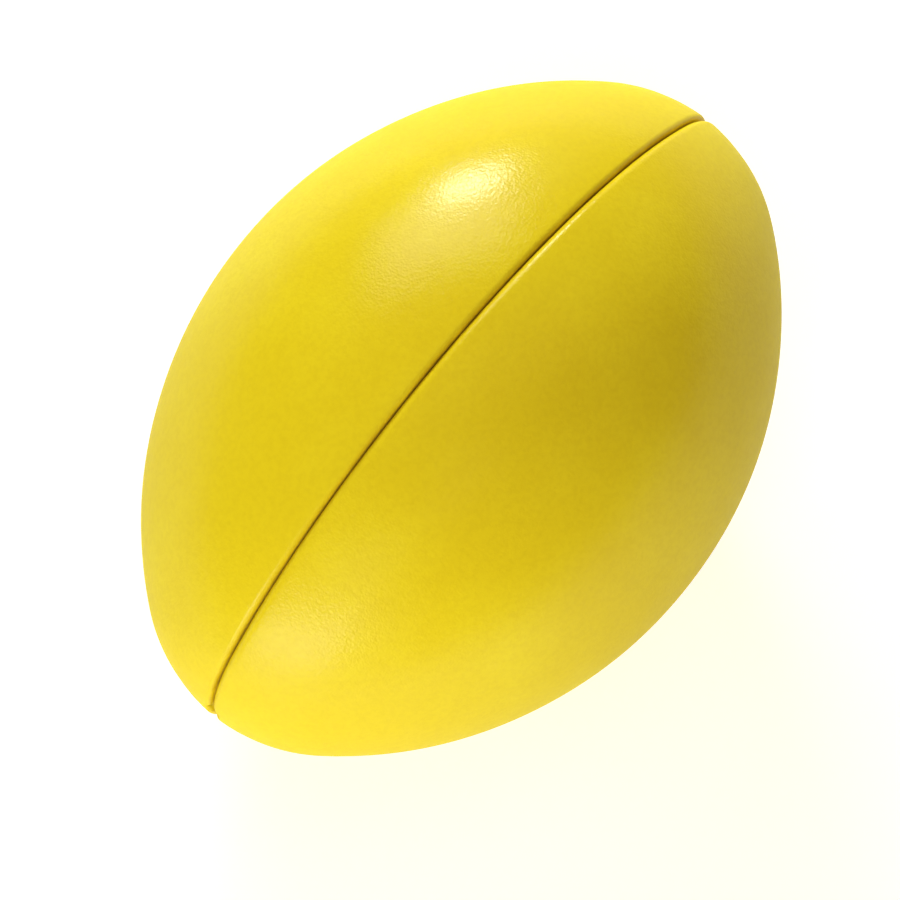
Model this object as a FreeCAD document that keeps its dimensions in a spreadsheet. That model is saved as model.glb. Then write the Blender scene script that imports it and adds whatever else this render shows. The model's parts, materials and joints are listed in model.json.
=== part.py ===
import FreeCAD, Part
import math
import os
import Sketcher

# Throwable self-inflating life ring, stored: two soft foam half shells, shaped like a rugby ball,
# closed round a folded ring bladder with its automatic inflator.
# Millimetres. X runs tip to tip, the parting plane is y = 0 and +Z is up. Origin at the centre.

V = FreeCAD.Vector
UP_TO_RIGHT = FreeCAD.Rotation(V(1, 0, 0), -90)    # a shape drawn along +Z points along +Y
UP_TO_LEFT = FreeCAD.Rotation(V(1, 0, 0), 90)      # ... along -Y
UP_TO_FRONT = FreeCAD.Rotation(V(0, 1, 0), 90)     # ... along +X
DOC = FreeCAD.newDocument("self_inflating_life_ring")
SHEET = DOC.addObject("Spreadsheet::Sheet", "Params")

# name: (value, what it is). Heights and offsets inside the inflator are from its gallery axis.
DIMENSIONS = {
    "shell_half_length": (120.0, "centre to tip, outside"),
    "shell_half_width": (86.6, "centre to flank, outside"),
    "shell_tip_radius": (55.6, "outer radius at the tips"),
    "wall": (10.0, "foam wall"),
    "rim_round": (2.6, "rounding of the rim's outer edge"),
    "rim_gap": (0.3, "gap left between the two rims"),
    "tongue_inner": (7.6, "tongue's inner face, from the outside"),
    "tongue_outer": (5.0, "tongue's outer face, from the outside"),
    "tongue_height": (4.0, "tongue above the rim"),
    "tongue_end": (84.0, "where the tongue ends, from the middle"),
    "groove_clearance": (0.35, "groove wider than the tongue, each side"),
    "groove_extra": (0.6, "groove deeper than the tongue is high"),
    "groove_end_gap": (1.0, "groove longer than the tongue, each end"),
    "inlet_width": (9.0, "water inlet across the rim at each tip"),
    "inlet_depth": (1.6, "depth of the inlet below the rim"),
    "snap_spacing": (60.0, "snap boss from the middle, along X"),
    "snap_inset": (14.5, "snap boss centre from the outside"),
    "boss_radius": (8.0, "snap boss"),
    "boss_length": (24.0, "snap boss below the rim"),
    "peg_radius": (2.4, "snap peg stem"),
    "peg_head": (3.0, "snap peg head"),
    "peg_seat": (12.0, "peg stem inside the foam"),
    "peg_reach": (9.0, "peg out of the rim"),
    "socket_radius": (5.2, "snap socket, outside"),
    "socket_bore": (3.3, "snap socket, inside"),
    "socket_length": (12.0, "snap socket"),
    "socket_floor": (1.2, "snap socket's closed end"),
    "socket_chamfer": (0.9, "snap socket's mouth"),
    "eye_base_radius": (9.0, "tether eye base"),
    "eye_base": (2.0, "tether eye base thickness"),
    "eye_sink": (1.0, "tether eye base sunk in the wall"),
    "eye_overlap": (1.2, "tether eye ring sunk in its base"),
    "eye_ring": (4.6, "tether eye ring, mean radius"),
    "eye_wire": (1.5, "tether eye ring, section radius"),
    "pack_half_length": (97.0, "folded bladder, centre to end"),
    "pack_half_width": (60.0, "folded bladder, top and sides"),
    "pack_tip_radius": (40.0, "folded bladder, end rounding"),
    "pack_floor": (-2.0, "folded bladder's flat underside"),
    "pack_edge_round": (5.0, "folded bladder, edge of the underside"),
    "tape_clearance": (0.15, "tape above the bladder"),
    "tape_thickness": (0.5, "reflective tape"),
    "tape_front": (42.0, "front tape patch's centre along X"),
    "tape_rear": (-61.0, "rear tape patch's centre along X"),
    "tape_length": (30.0, "tape patch along X"),
    "tape_angle": (56.0, "tape patch round the bladder, degrees"),
    "band_width": (14.0, "retaining band"),
    "band_thickness": (1.6, "retaining band"),
    "band_clearance": (0.5, "band above what it holds"),
    "band_corner": (6.0, "where a band leaves the dome, under the bladder"),
    "band_rear": (-33.0, "rear band centre along X"),
    "band_front": (2.0, "front band centre along X"),
    "gallery_z": (-22.0, "height of the inflator's gallery axis"),
    "cylinder_radius": (12.7, "24 g gas cylinder"),
    "cylinder_wall": (1.5, "gas cylinder wall"),
    "cylinder_bottom": (-96.0, "gas cylinder's closed end"),
    "shoulder_start": (1.0, "where the shoulder leaves the wall"),
    "shoulder_round": (18.0, "radius of the shoulder"),
    "neck_start": (15.4, "where the neck begins"),
    "neck_tip": (28.0, "neck's mouth"),
    "neck_radius": (6.3, "1/2 inch neck"),
    "neck_bore": (3.1, "neck's mouth bore"),
    "seal_thickness": (0.8, "pierceable disc in the neck"),
    "port_radius": (6.35, "cylinder port in the inflator"),
    "block_start": (16.0, "inflator block, cylinder side"),
    "block_end": (62.0, "inflator block, cap side"),
    "block_half_width": (11.5, "inflator block"),
    "block_half_height": (14.0, "inflator block"),
    "block_round": (4.0, "inflator block, long edges"),
    "port_end": (30.0, "bottom of the cylinder port"),
    "gasket_gap": (0.2, "cylinder gasket from the neck"),
    "port_gasket_bore": (3.4, "cylinder gasket"),
    "gallery_radius": (4.05, "bore for pin carrier and plunger"),
    "nose_radius": (11.0, "threaded nose for the cap"),
    "nose_end": (72.0, "end of the nose"),
    "seat_radius": (9.4, "bobbin seat in the nose"),
    "seat_start": (65.5, "bottom of the bobbin seat"),
    "barrel_x": (33.0, "manifold barrel centre"),
    "barrel_y": (18.0, "manifold barrel centre"),
    "barrel_radius": (11.0, "manifold barrel"),
    "barrel_bore": (7.0, "bore for the manifold stem"),
    "gas_passage": (1.5, "gallery to barrel"),
    "slot_start": (41.4, "lever slot"),
    "slot_end": (59.5, "lever slot"),
    "slot_top": (5.2, "lever slot's upper end"),
    "slot_half_width": (2.8, "lever slot"),
    "pivot_x": (50.0, "lever pivot"),
    "pivot_drop": (9.0, "lever pivot below the gallery axis"),
    "pivot_radius": (1.5, "lever pivot pin"),
    "lever_half_width": (2.5, "lever"),
    "lever_toe": (3.0, "lever toe radius"),
    "web_rear": (2.0, "lever web behind the pivot"),
    "web_front": (1.5, "lever web ahead of the pivot"),
    "lever_boss": (4.0, "lever boss round the pivot"),
    "arm_gap": (1.6, "lever arm under the block"),
    "arm_depth": (4.6, "underside of the lever arm below the block"),
    "arm_root": (2.0, "arm ahead of the pivot"),
    "arm_root_drop": (3.4, "arm root under the pivot"),
    "arm_throat": (4.0, "arm's throat behind the pivot"),
    "arm_shoulder": (5.7, "arm's shoulder behind the pivot"),
    "arm_shoulder_gap": (0.6, "arm's shoulder under the block"),
    "arm_tip_depth": (3.0, "arm's tip below the block"),
    "paddle_length": (13.0, "lever paddle"),
    "paddle_width": (11.0, "lever paddle"),
    "lanyard_eye": (1.8, "hole for the lanyard"),
    "lanyard_eye_in": (4.2, "lanyard hole from the paddle's end"),
    "pivot_clearance": (0.05, "lever bore over its pin"),
    "carrier_start": (37.5, "pin carrier"),
    "carrier_end": (46.8, "pin carrier"),
    "carrier_radius": (3.98, "pin carrier"),
    "carrier_groove": (40.0, "centre of the O-ring groove"),
    "groove_half_width": (1.0, "O-ring groove"),
    "pin_seat": (3.0, "carrier left behind the pin"),
    "oring_mean": (3.1, "carrier O-ring, mean radius"),
    "oring_wire": (0.88, "carrier O-ring, section radius"),
    "pin_tip": (29.4, "point of the piercing pin"),
    "pin_radius": (1.3, "piercing pin"),
    "pin_cone": (3.2, "piercing pin's cone"),
    "plunger_nose": (53.2, "plunger"),
    "plunger_chamfer": (0.8, "plunger nose"),
    "plunger_flange": (73.2, "plunger flange"),
    "flange_thickness": (2.0, "plunger flange"),
    "flange_radius": (8.0, "plunger flange"),
    "spigot_radius": (3.6, "plunger spigot inside the spring"),
    "spigot_length": (3.0, "plunger spigot"),
    "bobbin_end": (73.0, "water bobbin"),
    "bobbin_gap": (0.1, "water bobbin from its seat"),
    "bobbin_radius": (9.1, "water bobbin"),
    "bobbin_bore": (4.4, "water bobbin"),
    "spring_radius": (5.6, "plunger spring, mean"),
    "spring_wire": (0.7, "plunger spring wire, radius"),
    "spring_turns": (5.0, "plunger spring"),
    "helix_points": (24.0, "points per turn of a spring's helix"),
    "spring_gap": (0.1, "spring ends from what they press on"),
    "cap_start": (62.6, "bobbin cap's open end"),
    "cap_end": (90.5, "bobbin cap's closed end"),
    "cap_radius": (14.5, "bobbin cap"),
    "cap_bore": (11.06, "bobbin cap over the nose"),
    "cap_room": (10.2, "bobbin cap's spring room"),
    "cap_floor": (2.2, "bobbin cap's end wall"),
    "cap_step": (0.5, "cap past the nose"),
    "cap_corner": (3.0, "rounding of the closed end"),
    "flute_radius": (2.2, "grip flute"),
    "flute_offset": (1.2, "grip flute axis outside the cap"),
    "flute_length": (14.0, "grip flute and its run-in"),
    "flute_count": (12, "grip flutes"),
    "window_start": (3.4, "water window from the nose"),
    "window_length": (9.0, "water window"),
    "window_half_width": (2.6, "water window"),
    "window_count": (4, "water windows"),
    "stem_radius": (6.9, "manifold stem"),
    "stem_thread": (1.0, "stem thinner in the nut"),
    "stem_grip": (2.0, "stem short of the nut's bottom"),
    "stem_bore": (2.6, "gas way up the stem"),
    "stem_bore_start": (3.0, "gas way starts below the gallery axis"),
    "flange_disc": (19.0, "manifold flange, under the bladder"),
    "flange_root": (10.6, "manifold flange where it leaves the stem"),
    "flange_edge": (1.6, "manifold flange, edge thickness"),
    "flange_gap": (0.4, "flanges under the bladder"),
    "gasket_thickness": (1.5, "manifold gaskets"),
    "gasket_outer": (10.4, "manifold gaskets"),
    "gasket_clearance": (0.1, "gaskets on the stem"),
    "nut_flats": (9.6, "manifold nut, across corners radius"),
    "nut_height": (8.0, "manifold nut"),
    "nut_floor": (1.8, "closed end of the nut"),
    "oral_y": (-30.0, "oral tube"),
    "oral_z": (-24.0, "oral tube"),
    "oral_radius": (5.5, "oral tube"),
    "oral_bore": (3.8, "oral tube"),
    "oral_start": (-46.0, "oral tube's bladder end"),
    "oral_end": (30.0, "oral tube's valve end"),
    "oral_bend": (12.0, "elbow's bend radius"),
    "elbow_wall": (1.2, "elbow over the tube"),
    "elbow_disc": (11.0, "elbow's welded disc"),
    "elbow_disc_thickness": (1.6, "elbow's welded disc"),
    "valve_end": (56.0, "mouth of the oral valve"),
    "valve_radius": (7.0, "oral valve"),
    "valve_bore": (5.0, "oral valve's mouth"),
    "valve_seat": (46.0, "oral valve's seat"),
    "valve_spigot": (10.0, "valve in the tube"),
    "spigot_bore": (2.2, "valve's air way"),
    "spring_room": (9.0, "spring chamber before the seat"),
    "seat_cone": (1.0, "valve seat's cone"),
    "seat_bore": (2.6, "valve seat"),
    "seat_land": (1.5, "valve seat"),
    "valve_edge": (0.8, "valve's mouth edge"),
    "valve_gap": (0.1, "valve from tube and dust cap"),
    "poppet_stem": (1.3, "oral valve poppet"),
    "poppet_disc": (1.6, "poppet disc"),
    "poppet_gap": (0.6, "poppet disc in the chamber"),
    "poppet_lift": (0.2, "poppet disc from the seat's cone"),
    "poppet_tail": (1.8, "poppet tail in the spring"),
    "poppet_button": (3.4, "poppet's push button"),
    "poppet_button_height": (1.0, "poppet's push button"),
    "valve_spring_wire": (0.3, "valve spring wire, radius"),
    "valve_spring_mean": (2.6, "valve spring"),
    "valve_spring_turns": (4.0, "valve spring"),
    "valve_spring_gap": (0.05, "valve spring ends"),
    "dust_cap_skirt": (9.0, "dust cap over the valve"),
    "dust_cap_room": (0.6, "dust cap past the mouth"),
    "dust_cap_end": (2.4, "dust cap past the mouth, outside"),
    "dust_cap_wall": (1.5, "dust cap"),
    "past": (1.0, "how far a cut runs past what it cuts"),
}

for row, (name, (value, note)) in enumerate(DIMENSIONS.items(), start=1):
    SHEET.set(f"A{row}", name)
    SHEET.set(f"B{row}", str(value))
    SHEET.setAlias(f"B{row}", name)
    SHEET.set(f"C{row}", note)
DOC.recompute()


def size(name):
    """A driving dimension's value."""
    return float(SHEET.get(name))


def terms(text):
    """Turn words that are dimension names into references to the sheet's cells."""
    out = ""
    word = ""
    for mark in str(text) + " ":
        if mark.isalnum() or mark == "_" or (mark == "." and word[:1].isdigit()):
            word += mark
        else:
            out += ("Params." + word if word in DIMENSIONS else word) + mark
            word = ""
    return out.strip()


def bind(thing, path, text):
    """Bind one property of an object to the sheet."""
    thing.setExpression(path, terms(text))


def two_arcs(family, inset="0"):
    """Terms of an outline made of one flank arc and two tip arcs, inset from its outside."""
    length = f"{family}_half_length"
    width = f"{family}_half_width"
    tip = f"{family}_tip_radius"
    flank = f"(({length}^2 + {width}^2 - 2*{length}*{tip}) / (2*({width} - {tip})))"
    run = f"({length} - {tip})"
    drop = f"({flank} - {width})"
    reach = f"sqrt({run}^2 + {drop}^2)"
    return {
        "end": f"({length} - ({inset}))",
        "tip": f"({tip} - ({inset}))",
        "flank": f"({flank} - ({inset}))",
        "drop": drop,
        "join_x": f"({run} + ({tip} - ({inset}))*{run}/{reach})",
        "join_z": f"(({tip} - ({inset}))*{drop}/{reach})",
    }


def flank_height(family, inset, x):
    """Height of the flank arc above the axis at a station x."""
    arc = two_arcs(family, inset)
    return f"(sqrt({arc['flank']}^2 - ({x})^2) - {arc['drop']})"


def new_body(label):
    body = DOC.addObject("PartDesign::Body", label)
    body.Label = label
    body.AllowCompound = True
    return body


def new_sketch(body, name, role, offset=None):
    """A sketch on one of the body's origin planes, moved along the plane's normal."""
    sketch = body.newObject("Sketcher::SketchObject", name)
    plane = next(f for f in body.Origin.OriginFeatures if f.Role == role)
    sketch.AttachmentSupport = [(plane, "")]
    sketch.MapMode = "FlatFace"
    if offset is not None:
        bind(sketch, "AttachmentOffset.Base.z", offset)
    DOC.recompute()
    return sketch


def evaluate(sketch, text):
    return float(sketch.evalExpression(terms(text)))


def add_arc(sketch, start, end, radius, side):
    """A short arc from start to end; its centre lies to the left of the run for side +1."""
    chord = end - start
    half = chord.Length / 2
    left = V(-chord.y, chord.x, 0).normalize()
    depth = math.sqrt(max(radius**2 - half**2, 0.0))
    centre = (start + end) / 2 + left * side * depth
    middle = centre - left * side * radius
    return sketch.addGeometry(Part.Arc(start, middle, end), False)


def loop(sketch, corners, arcs=None):
    """Close a loop through the corners. arcs: side number to (radius, side of its centre)."""
    arcs = arcs or {}
    places = [V(evaluate(sketch, x), evaluate(sketch, y), 0) for x, y in corners]
    ends = []
    count = len(corners)
    for index in range(count):
        start = places[index]
        end = places[(index + 1) % count]
        if index in arcs:
            radius, side = arcs[index]
            side_id = add_arc(sketch, start, end, evaluate(sketch, radius), side)
        else:
            side_id = sketch.addGeometry(Part.LineSegment(start, end), False)
        forward = (sketch.getPoint(side_id, 1) - start).Length < (sketch.getPoint(side_id, 2) - start).Length
        ends.append((side_id, 1, 2) if forward else (side_id, 2, 1))
    for index in range(count):
        side_id, head, tail = ends[index]
        after, after_head, _ = ends[(index + 1) % count]
        sketch.addConstraint(Sketcher.Constraint("Coincident", side_id, tail, after, after_head))
        x, y = corners[index]
        for kind, text, value in (("DistanceX", x, places[index].x), ("DistanceY", y, places[index].y)):
            number = sketch.addConstraint(Sketcher.Constraint(kind, -1, 1, side_id, head, value))
            bind(sketch, f"Constraints[{number}]", text)
        if index in arcs:
            radius = evaluate(sketch, arcs[index][0])
            number = sketch.addConstraint(Sketcher.Constraint("Radius", side_id, radius))
            bind(sketch, f"Constraints[{number}]", arcs[index][0])


def circle(sketch, x, y, radius):
    centre = V(evaluate(sketch, x), evaluate(sketch, y), 0)
    length = evaluate(sketch, radius)
    ring = sketch.addGeometry(Part.Circle(centre, V(0, 0, 1), length), False)
    values = (("DistanceX", x, centre.x), ("DistanceY", y, centre.y))
    for kind, text, value in values:
        number = sketch.addConstraint(Sketcher.Constraint(kind, -1, 1, ring, 3, value))
        bind(sketch, f"Constraints[{number}]", text)
    number = sketch.addConstraint(Sketcher.Constraint("Radius", ring, length))
    bind(sketch, f"Constraints[{number}]", radius)


def rectangle(sketch, left, right, low, high):
    loop(sketch, [(left, low), (right, low), (right, high), (left, high)])


def feature(body, kind, sketch, **settings):
    """A PartDesign feature from a sketch; text settings are bound to the sheet."""
    made = body.newObject(f"PartDesign::{kind}", f"{body.Name}_{kind}")
    made.Profile = sketch
    for name, value in settings.items():
        if isinstance(value, str) and name in ("Length", "Length2", "Angle"):
            bind(made, name, value)
        else:
            setattr(made, name, value)
    DOC.recompute()
    return made


def turn(body, name, corners, arcs=None, kind="Revolution", angle="360", **settings):
    """Revolve a profile drawn in the XZ plane about the body's own X axis."""
    sketch = new_sketch(body, name, "XZ_Plane")
    loop(sketch, corners, arcs)
    return feature(body, kind, sketch, ReferenceAxis=(sketch, ["H_Axis"]), Angle=angle, **settings)


def turned(label, corners, arcs=None, y="0", z="gallery_z"):
    """A round sub-part on an axis parallel to X."""
    body = new_body(label)
    turn(body, f"{label}_profile", corners, arcs)
    bind(body, "Placement.Base.y", y)
    bind(body, "Placement.Base.z", z)
    return body


def soften(body, keep, radius, kind="Fillet"):
    """Fillet or chamfer the edges of the body's last feature that keep() picks."""
    base = body.Tip
    names = [f"Edge{n}" for n, edge in enumerate(base.Shape.Edges, start=1) if keep(edge)]
    made = body.newObject(f"PartDesign::{kind}", f"{body.Name}_{kind}")
    made.Base = (base, names)
    if kind == "Fillet":
        made.Radius = radius
    else:
        made.Size = radius
    DOC.recompute()
    return made


def group(label, members):
    """Separate solids that share one node."""
    joined = DOC.addObject("Part::Compound", label)
    joined.Label = label
    joined.Links = members
    return joined


def primitive(kind, name, sizes, x="0", y="0", z="0", turned_by=None):
    """A Part primitive with its sizes and place bound to the sheet."""
    made = DOC.addObject(f"Part::{kind}", name)
    for prop, text in sizes.items():
        bind(made, prop, text)
    if turned_by is not None:
        made.Placement = FreeCAD.Placement(V(0, 0, 0), turned_by)
    for prop, text in (("x", x), ("y", y), ("z", z)):
        bind(made, f"Placement.Base.{prop}", text)
    return made


def cut(name, base, tool):
    made = DOC.addObject("Part::Cut", name)
    made.Base = base
    made.Tool = tool
    return made


def fuse(name, shapes):
    made = DOC.addObject("Part::MultiFuse", name)
    made.Shapes = shapes
    return made


# ---------------------------------------------------------------- shells

def lens(corner_terms):
    """Corners and arcs of the closed outline above the axis, from the +X end to the -X end."""
    end, x, z = corner_terms["end"], corner_terms["join_x"], corner_terms["join_z"]
    corners = [(end, "0"), (x, z), (f"-{x}", z), (f"-{end}", "0")]
    arcs = {0: (corner_terms["tip"], 1), 1: (corner_terms["flank"], 1), 2: (corner_terms["tip"], 1)}
    return corners, arcs


def rim_strip(sketch, outer, inner, end, below=False):
    """A strip of the rim between two insets along the flank, above or below the axis."""
    sign = "-" if below else ""
    arc_out = two_arcs("shell", outer)
    arc_in = two_arcs("shell", inner)
    high = flank_height("shell", outer, end)
    low = flank_height("shell", inner, end)
    corners = [(end, f"{sign}{high}"), (f"-({end})", f"{sign}{high}"),
               (f"-({end})", f"{sign}{low}"), (end, f"{sign}{low}")]
    side = -1 if below else 1
    loop(sketch, corners, {0: (arc_out["flank"], side), 2: (arc_in["flank"], -side)})


def half_shell(label):
    """One moulded half. Both halves are the same: tongue and pegs along the upper rim,
    groove and sockets along the lower one, so that one turned over closes the other."""
    body = new_body(label)
    outer, outer_arcs = lens(two_arcs("shell"))
    turn(body, f"{label}_outside", outer, outer_arcs, angle="180")
    soften(body, lambda edge: abs(edge.BoundBox.YMin) < 0.01 and abs(edge.BoundBox.YMax) < 0.01
           and edge.BoundBox.ZLength > 1, size("rim_round"))
    inner, inner_arcs = lens(two_arcs("shell", "wall"))
    turn(body, f"{label}_inside", inner, inner_arcs, kind="Groove", angle="180")

    bosses = new_sketch(body, f"{label}_bosses", "XZ_Plane")
    drill = new_sketch(body, f"{label}_peg_seats", "XZ_Plane")
    seats = new_sketch(body, f"{label}_socket_seats", "XZ_Plane")
    height = flank_height("shell", "snap_inset", "snap_spacing")
    for side in ("", "-"):
        for sign in ("", "-"):
            circle(bosses, f"{side}snap_spacing", f"{sign}{height}", "boss_radius")
        circle(drill, f"{side}snap_spacing", height, "peg_radius")
        circle(seats, f"{side}snap_spacing", f"-{height}", "socket_radius")
    feature(body, "Pad", bosses, Length="boss_length")
    feature(body, "Pocket", drill, Length="peg_seat", Reversed=True)
    feature(body, "Pocket", seats, Length="socket_length", Reversed=True)

    tongue = new_sketch(body, f"{label}_tongue", "XZ_Plane")
    rim_strip(tongue, "tongue_outer", "tongue_inner", "tongue_end")
    feature(body, "Pad", tongue, Length="tongue_height", Reversed=True)
    groove = new_sketch(body, f"{label}_groove", "XZ_Plane")
    rim_strip(groove, "tongue_outer - groove_clearance", "tongue_inner + groove_clearance",
              "tongue_end + groove_end_gap", below=True)
    feature(body, "Pocket", groove, Length="tongue_height + groove_extra", Reversed=True)

    inlets = new_sketch(body, f"{label}_inlets", "XZ_Plane")
    reach = "(shell_half_length + past)"
    inside = "(shell_half_length - wall - 3 * past)"
    rectangle(inlets, inside, reach, "-inlet_width / 2", "inlet_width / 2")
    rectangle(inlets, f"-{reach}", f"-{inside}", "-inlet_width / 2", "inlet_width / 2")
    feature(body, "Pocket", inlets, Length="inlet_depth", Reversed=True)

    eye_seat = new_sketch(body, f"{label}_eye_seat", "XZ_Plane",
                          "shell_half_width - wall - 3 * past")
    circle(eye_seat, "0", "0", "eye_base_radius")
    feature(body, "Pocket", eye_seat, Length="3 * past + eye_sink", Reversed=True)
    return body


def place_half(thing, right):
    """The left half keeps its place; the right one is the same, turned over about X."""
    if right:
        thing.Placement = FreeCAD.Placement(V(0, 0, 0), FreeCAD.Rotation(V(1, 0, 0), 180))
    bind(thing, "Placement.Base.y", "rim_gap / 2" if right else "-rim_gap / 2")
    return thing


def snap_pegs(label, right):
    """Two moulded pegs with round snap heads, standing out of the upper rim."""
    height = flank_height("shell", "snap_inset", "snap_spacing")
    pegs = []
    for side in ("", "-"):
        place = {"x": f"{side}snap_spacing", "z": height}
        stem = primitive("Cylinder", f"{label}_stem", {"Radius": "peg_radius",
                         "Height": "peg_seat + peg_reach - peg_head"},
                         y="-peg_seat", turned_by=UP_TO_RIGHT, **place)
        head = primitive("Sphere", f"{label}_head", {"Radius": "peg_head"},
                         y="peg_reach - peg_head", **place)
        pegs.append(fuse(f"{label}_peg", [stem, head]))
    return place_half(group(label, pegs), right)


def snap_sockets(label, right):
    """Two sleeves in the lower rim, with a chamfered mouth, that take the other half's pegs."""
    height = flank_height("shell", "snap_inset", "snap_spacing")
    sleeves = []
    for side in ("", "-"):
        place = {"x": f"{side}snap_spacing", "z": f"-{height}", "turned_by": UP_TO_LEFT}
        sleeve = primitive("Cylinder", f"{label}_sleeve", {"Radius": "socket_radius",
                           "Height": "socket_length"}, **place)
        bore = primitive("Cylinder", f"{label}_bore", {"Radius": "socket_bore",
                         "Height": "socket_length - socket_floor"}, **place)
        mouth = primitive("Cone", f"{label}_mouth", {"Radius1": "socket_bore + socket_chamfer",
                          "Radius2": "socket_bore", "Height": "socket_chamfer"}, **place)
        sleeves.append(cut(f"{label}_insert", cut(f"{label}_sleeve_bored", sleeve, bore), mouth))
    return place_half(group(label, sleeves), right)


def tether_eye(label, right):
    """A moulded eye on the shell's inner wall, for the line that keeps the half with the ring."""
    seat = "shell_half_width - wall + eye_sink"
    base = primitive("Cylinder", f"{label}_base", {"Radius": "eye_base_radius", "Height": "eye_base"},
                     y=f"-({seat})", turned_by=UP_TO_RIGHT)
    ring = primitive("Torus", f"{label}_ring", {"Radius1": "eye_ring", "Radius2": "eye_wire"},
                     y=f"-({seat} - eye_base - eye_ring - eye_wire + eye_overlap)")
    return place_half(fuse_labelled(label, [base, ring]), right)


def fuse_labelled(label, shapes):
    made = fuse(label, shapes)
    made.Label = label
    return made


# ---------------------------------------------------------------- ring pack

def ring_bladder():
    """The flattened ring, fan-folded into a domed pack with a flat underside."""
    body = new_body("ring_bladder")
    corners, arcs = lens(two_arcs("pack"))
    turn(body, "bladder_dome", corners, arcs)
    below = new_sketch(body, "bladder_underside", "XY_Plane", "pack_floor")
    rectangle(below, "-pack_half_length - past", "pack_half_length + past", "-pack_half_width - past",
              "pack_half_width + past")
    feature(body, "Pocket", below, Length="pack_half_width + past")
    soften(body, lambda edge: abs(edge.BoundBox.ZMin - size("pack_floor")) < 0.01
           and edge.BoundBox.ZLength < 0.01, size("pack_edge_round"))
    return body


def reflective_tape():
    """Two patches of reflective tape that follow the top of the folded bladder."""
    low = two_arcs("pack", "-tape_clearance")
    high = two_arcs("pack", "-tape_clearance - tape_thickness")
    patches = []
    for name in ("tape_front", "tape_rear"):
        body = new_body(f"{name}_patch")
        front, rear = f"({name} + tape_length / 2)", f"({name} - tape_length / 2)"
        corners = [(x, flank_height("pack", inset, x))
                   for x, inset in ((front, "-tape_clearance"), (front, "-tape_clearance - tape_thickness"),
                                    (rear, "-tape_clearance - tape_thickness"), (rear, "-tape_clearance"))]
        turn(body, f"{name}_section", corners, {1: (high["flank"], 1), 3: (low["flank"], -1)},
             angle="tape_angle", Midplane=True)
        patches.append(body)
    return group("reflective_tape", patches)


def band_ring(sketch, station, clearance):
    """One closed edge of a retaining band, seen along X: as wide as the dome is under the band."""
    nearest = f"(abs({station}) - band_width / 2)"
    radius = f"({flank_height('pack', '0', nearest)} + {clearance})"
    belly = f"(cylinder_radius + {clearance})"
    floor = "(pack_floor - band_corner)"
    side = f"sqrt({radius}^2 - {floor}^2)"
    corners = [(side, floor), ("0", radius), (f"-{side}", floor),
               (f"-{belly}", "gallery_z"), ("0", f"gallery_z - {belly}"), (belly, "gallery_z")]
    arcs = {0: (radius, 1), 1: (radius, 1), 3: (belly, 1), 4: (belly, 1)}
    loop(sketch, corners, arcs)


def retaining_bands():
    """Two woven bands round the folded bladder and the gas cylinder."""
    bands = []
    for name in ("band_rear", "band_front"):
        body = new_body(f"{name}_loop")
        outside = new_sketch(body, f"{name}_outside", "YZ_Plane", name)
        band_ring(outside, name, "band_clearance + band_thickness")
        feature(body, "Pad", outside, Length="band_width", Midplane=True)
        inside = new_sketch(body, f"{name}_inside", "YZ_Plane", name)
        band_ring(inside, name, "band_clearance")
        feature(body, "Pocket", inside, Length="band_width + 2 * past", Midplane=True)
        bands.append(body)
    return group("retaining_bands", bands)


# ---------------------------------------------------------------- inflator

def inflator_body():
    """Moulded body: cylinder port, pin gallery, lever slot, cap nose and manifold barrel."""
    body = new_body("inflator_body")
    block = new_sketch(body, "inflator_block", "XY_Plane")
    rectangle(block, "block_start", "block_end", "-block_half_width", "block_half_width")
    feature(body, "Pad", block, Length="2 * block_half_height", Midplane=True)
    long_edge = (size("block_end") - size("block_start")) * 0.9
    soften(body, lambda edge: edge.BoundBox.XLength > long_edge, size("block_round"))
    barrel = new_sketch(body, "manifold_barrel", "XY_Plane")
    circle(barrel, "barrel_x", "barrel_y", "barrel_radius")
    feature(body, "Pad", barrel, Length="2 * block_half_height", Midplane=True)
    turn(body, "cap_nose", [("block_end - past", "0"), ("nose_end", "0"), ("nose_end", "nose_radius"),
                            ("block_end - past", "nose_radius")])
    turn(body, "gallery", [("block_start - past", "0"), ("nose_end + past", "0"),
                           ("nose_end + past", "seat_radius"), ("seat_start", "seat_radius"),
                           ("seat_start", "gallery_radius"), ("port_end", "gallery_radius"),
                           ("port_end", "port_radius"), ("block_start - past", "port_radius")],
         kind="Groove")
    bore = new_sketch(body, "barrel_bore_circle", "XY_Plane")
    circle(bore, "barrel_x", "barrel_y", "barrel_bore")
    feature(body, "Pocket", bore, Length="2 * block_half_height + 4 * past", Midplane=True)
    passage = new_sketch(body, "gas_passage_circle", "XZ_Plane")
    circle(passage, "barrel_x", "0", "gas_passage")
    feature(body, "Pocket", passage, Length="barrel_y")
    slot = new_sketch(body, "lever_slot", "XZ_Plane")
    rectangle(slot, "slot_start", "slot_end", "-block_half_height - past", "slot_top")
    feature(body, "Pocket", slot, Length="2 * slot_half_width", Midplane=True)
    pivot = new_sketch(body, "pivot_hole", "XZ_Plane")
    circle(pivot, "pivot_x", "-pivot_drop", "pivot_radius")
    feature(body, "Pocket", pivot, Length="2 * block_half_width + 4 * past", Midplane=True)
    bind(body, "Placement.Base.z", "gallery_z")
    return body


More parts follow.
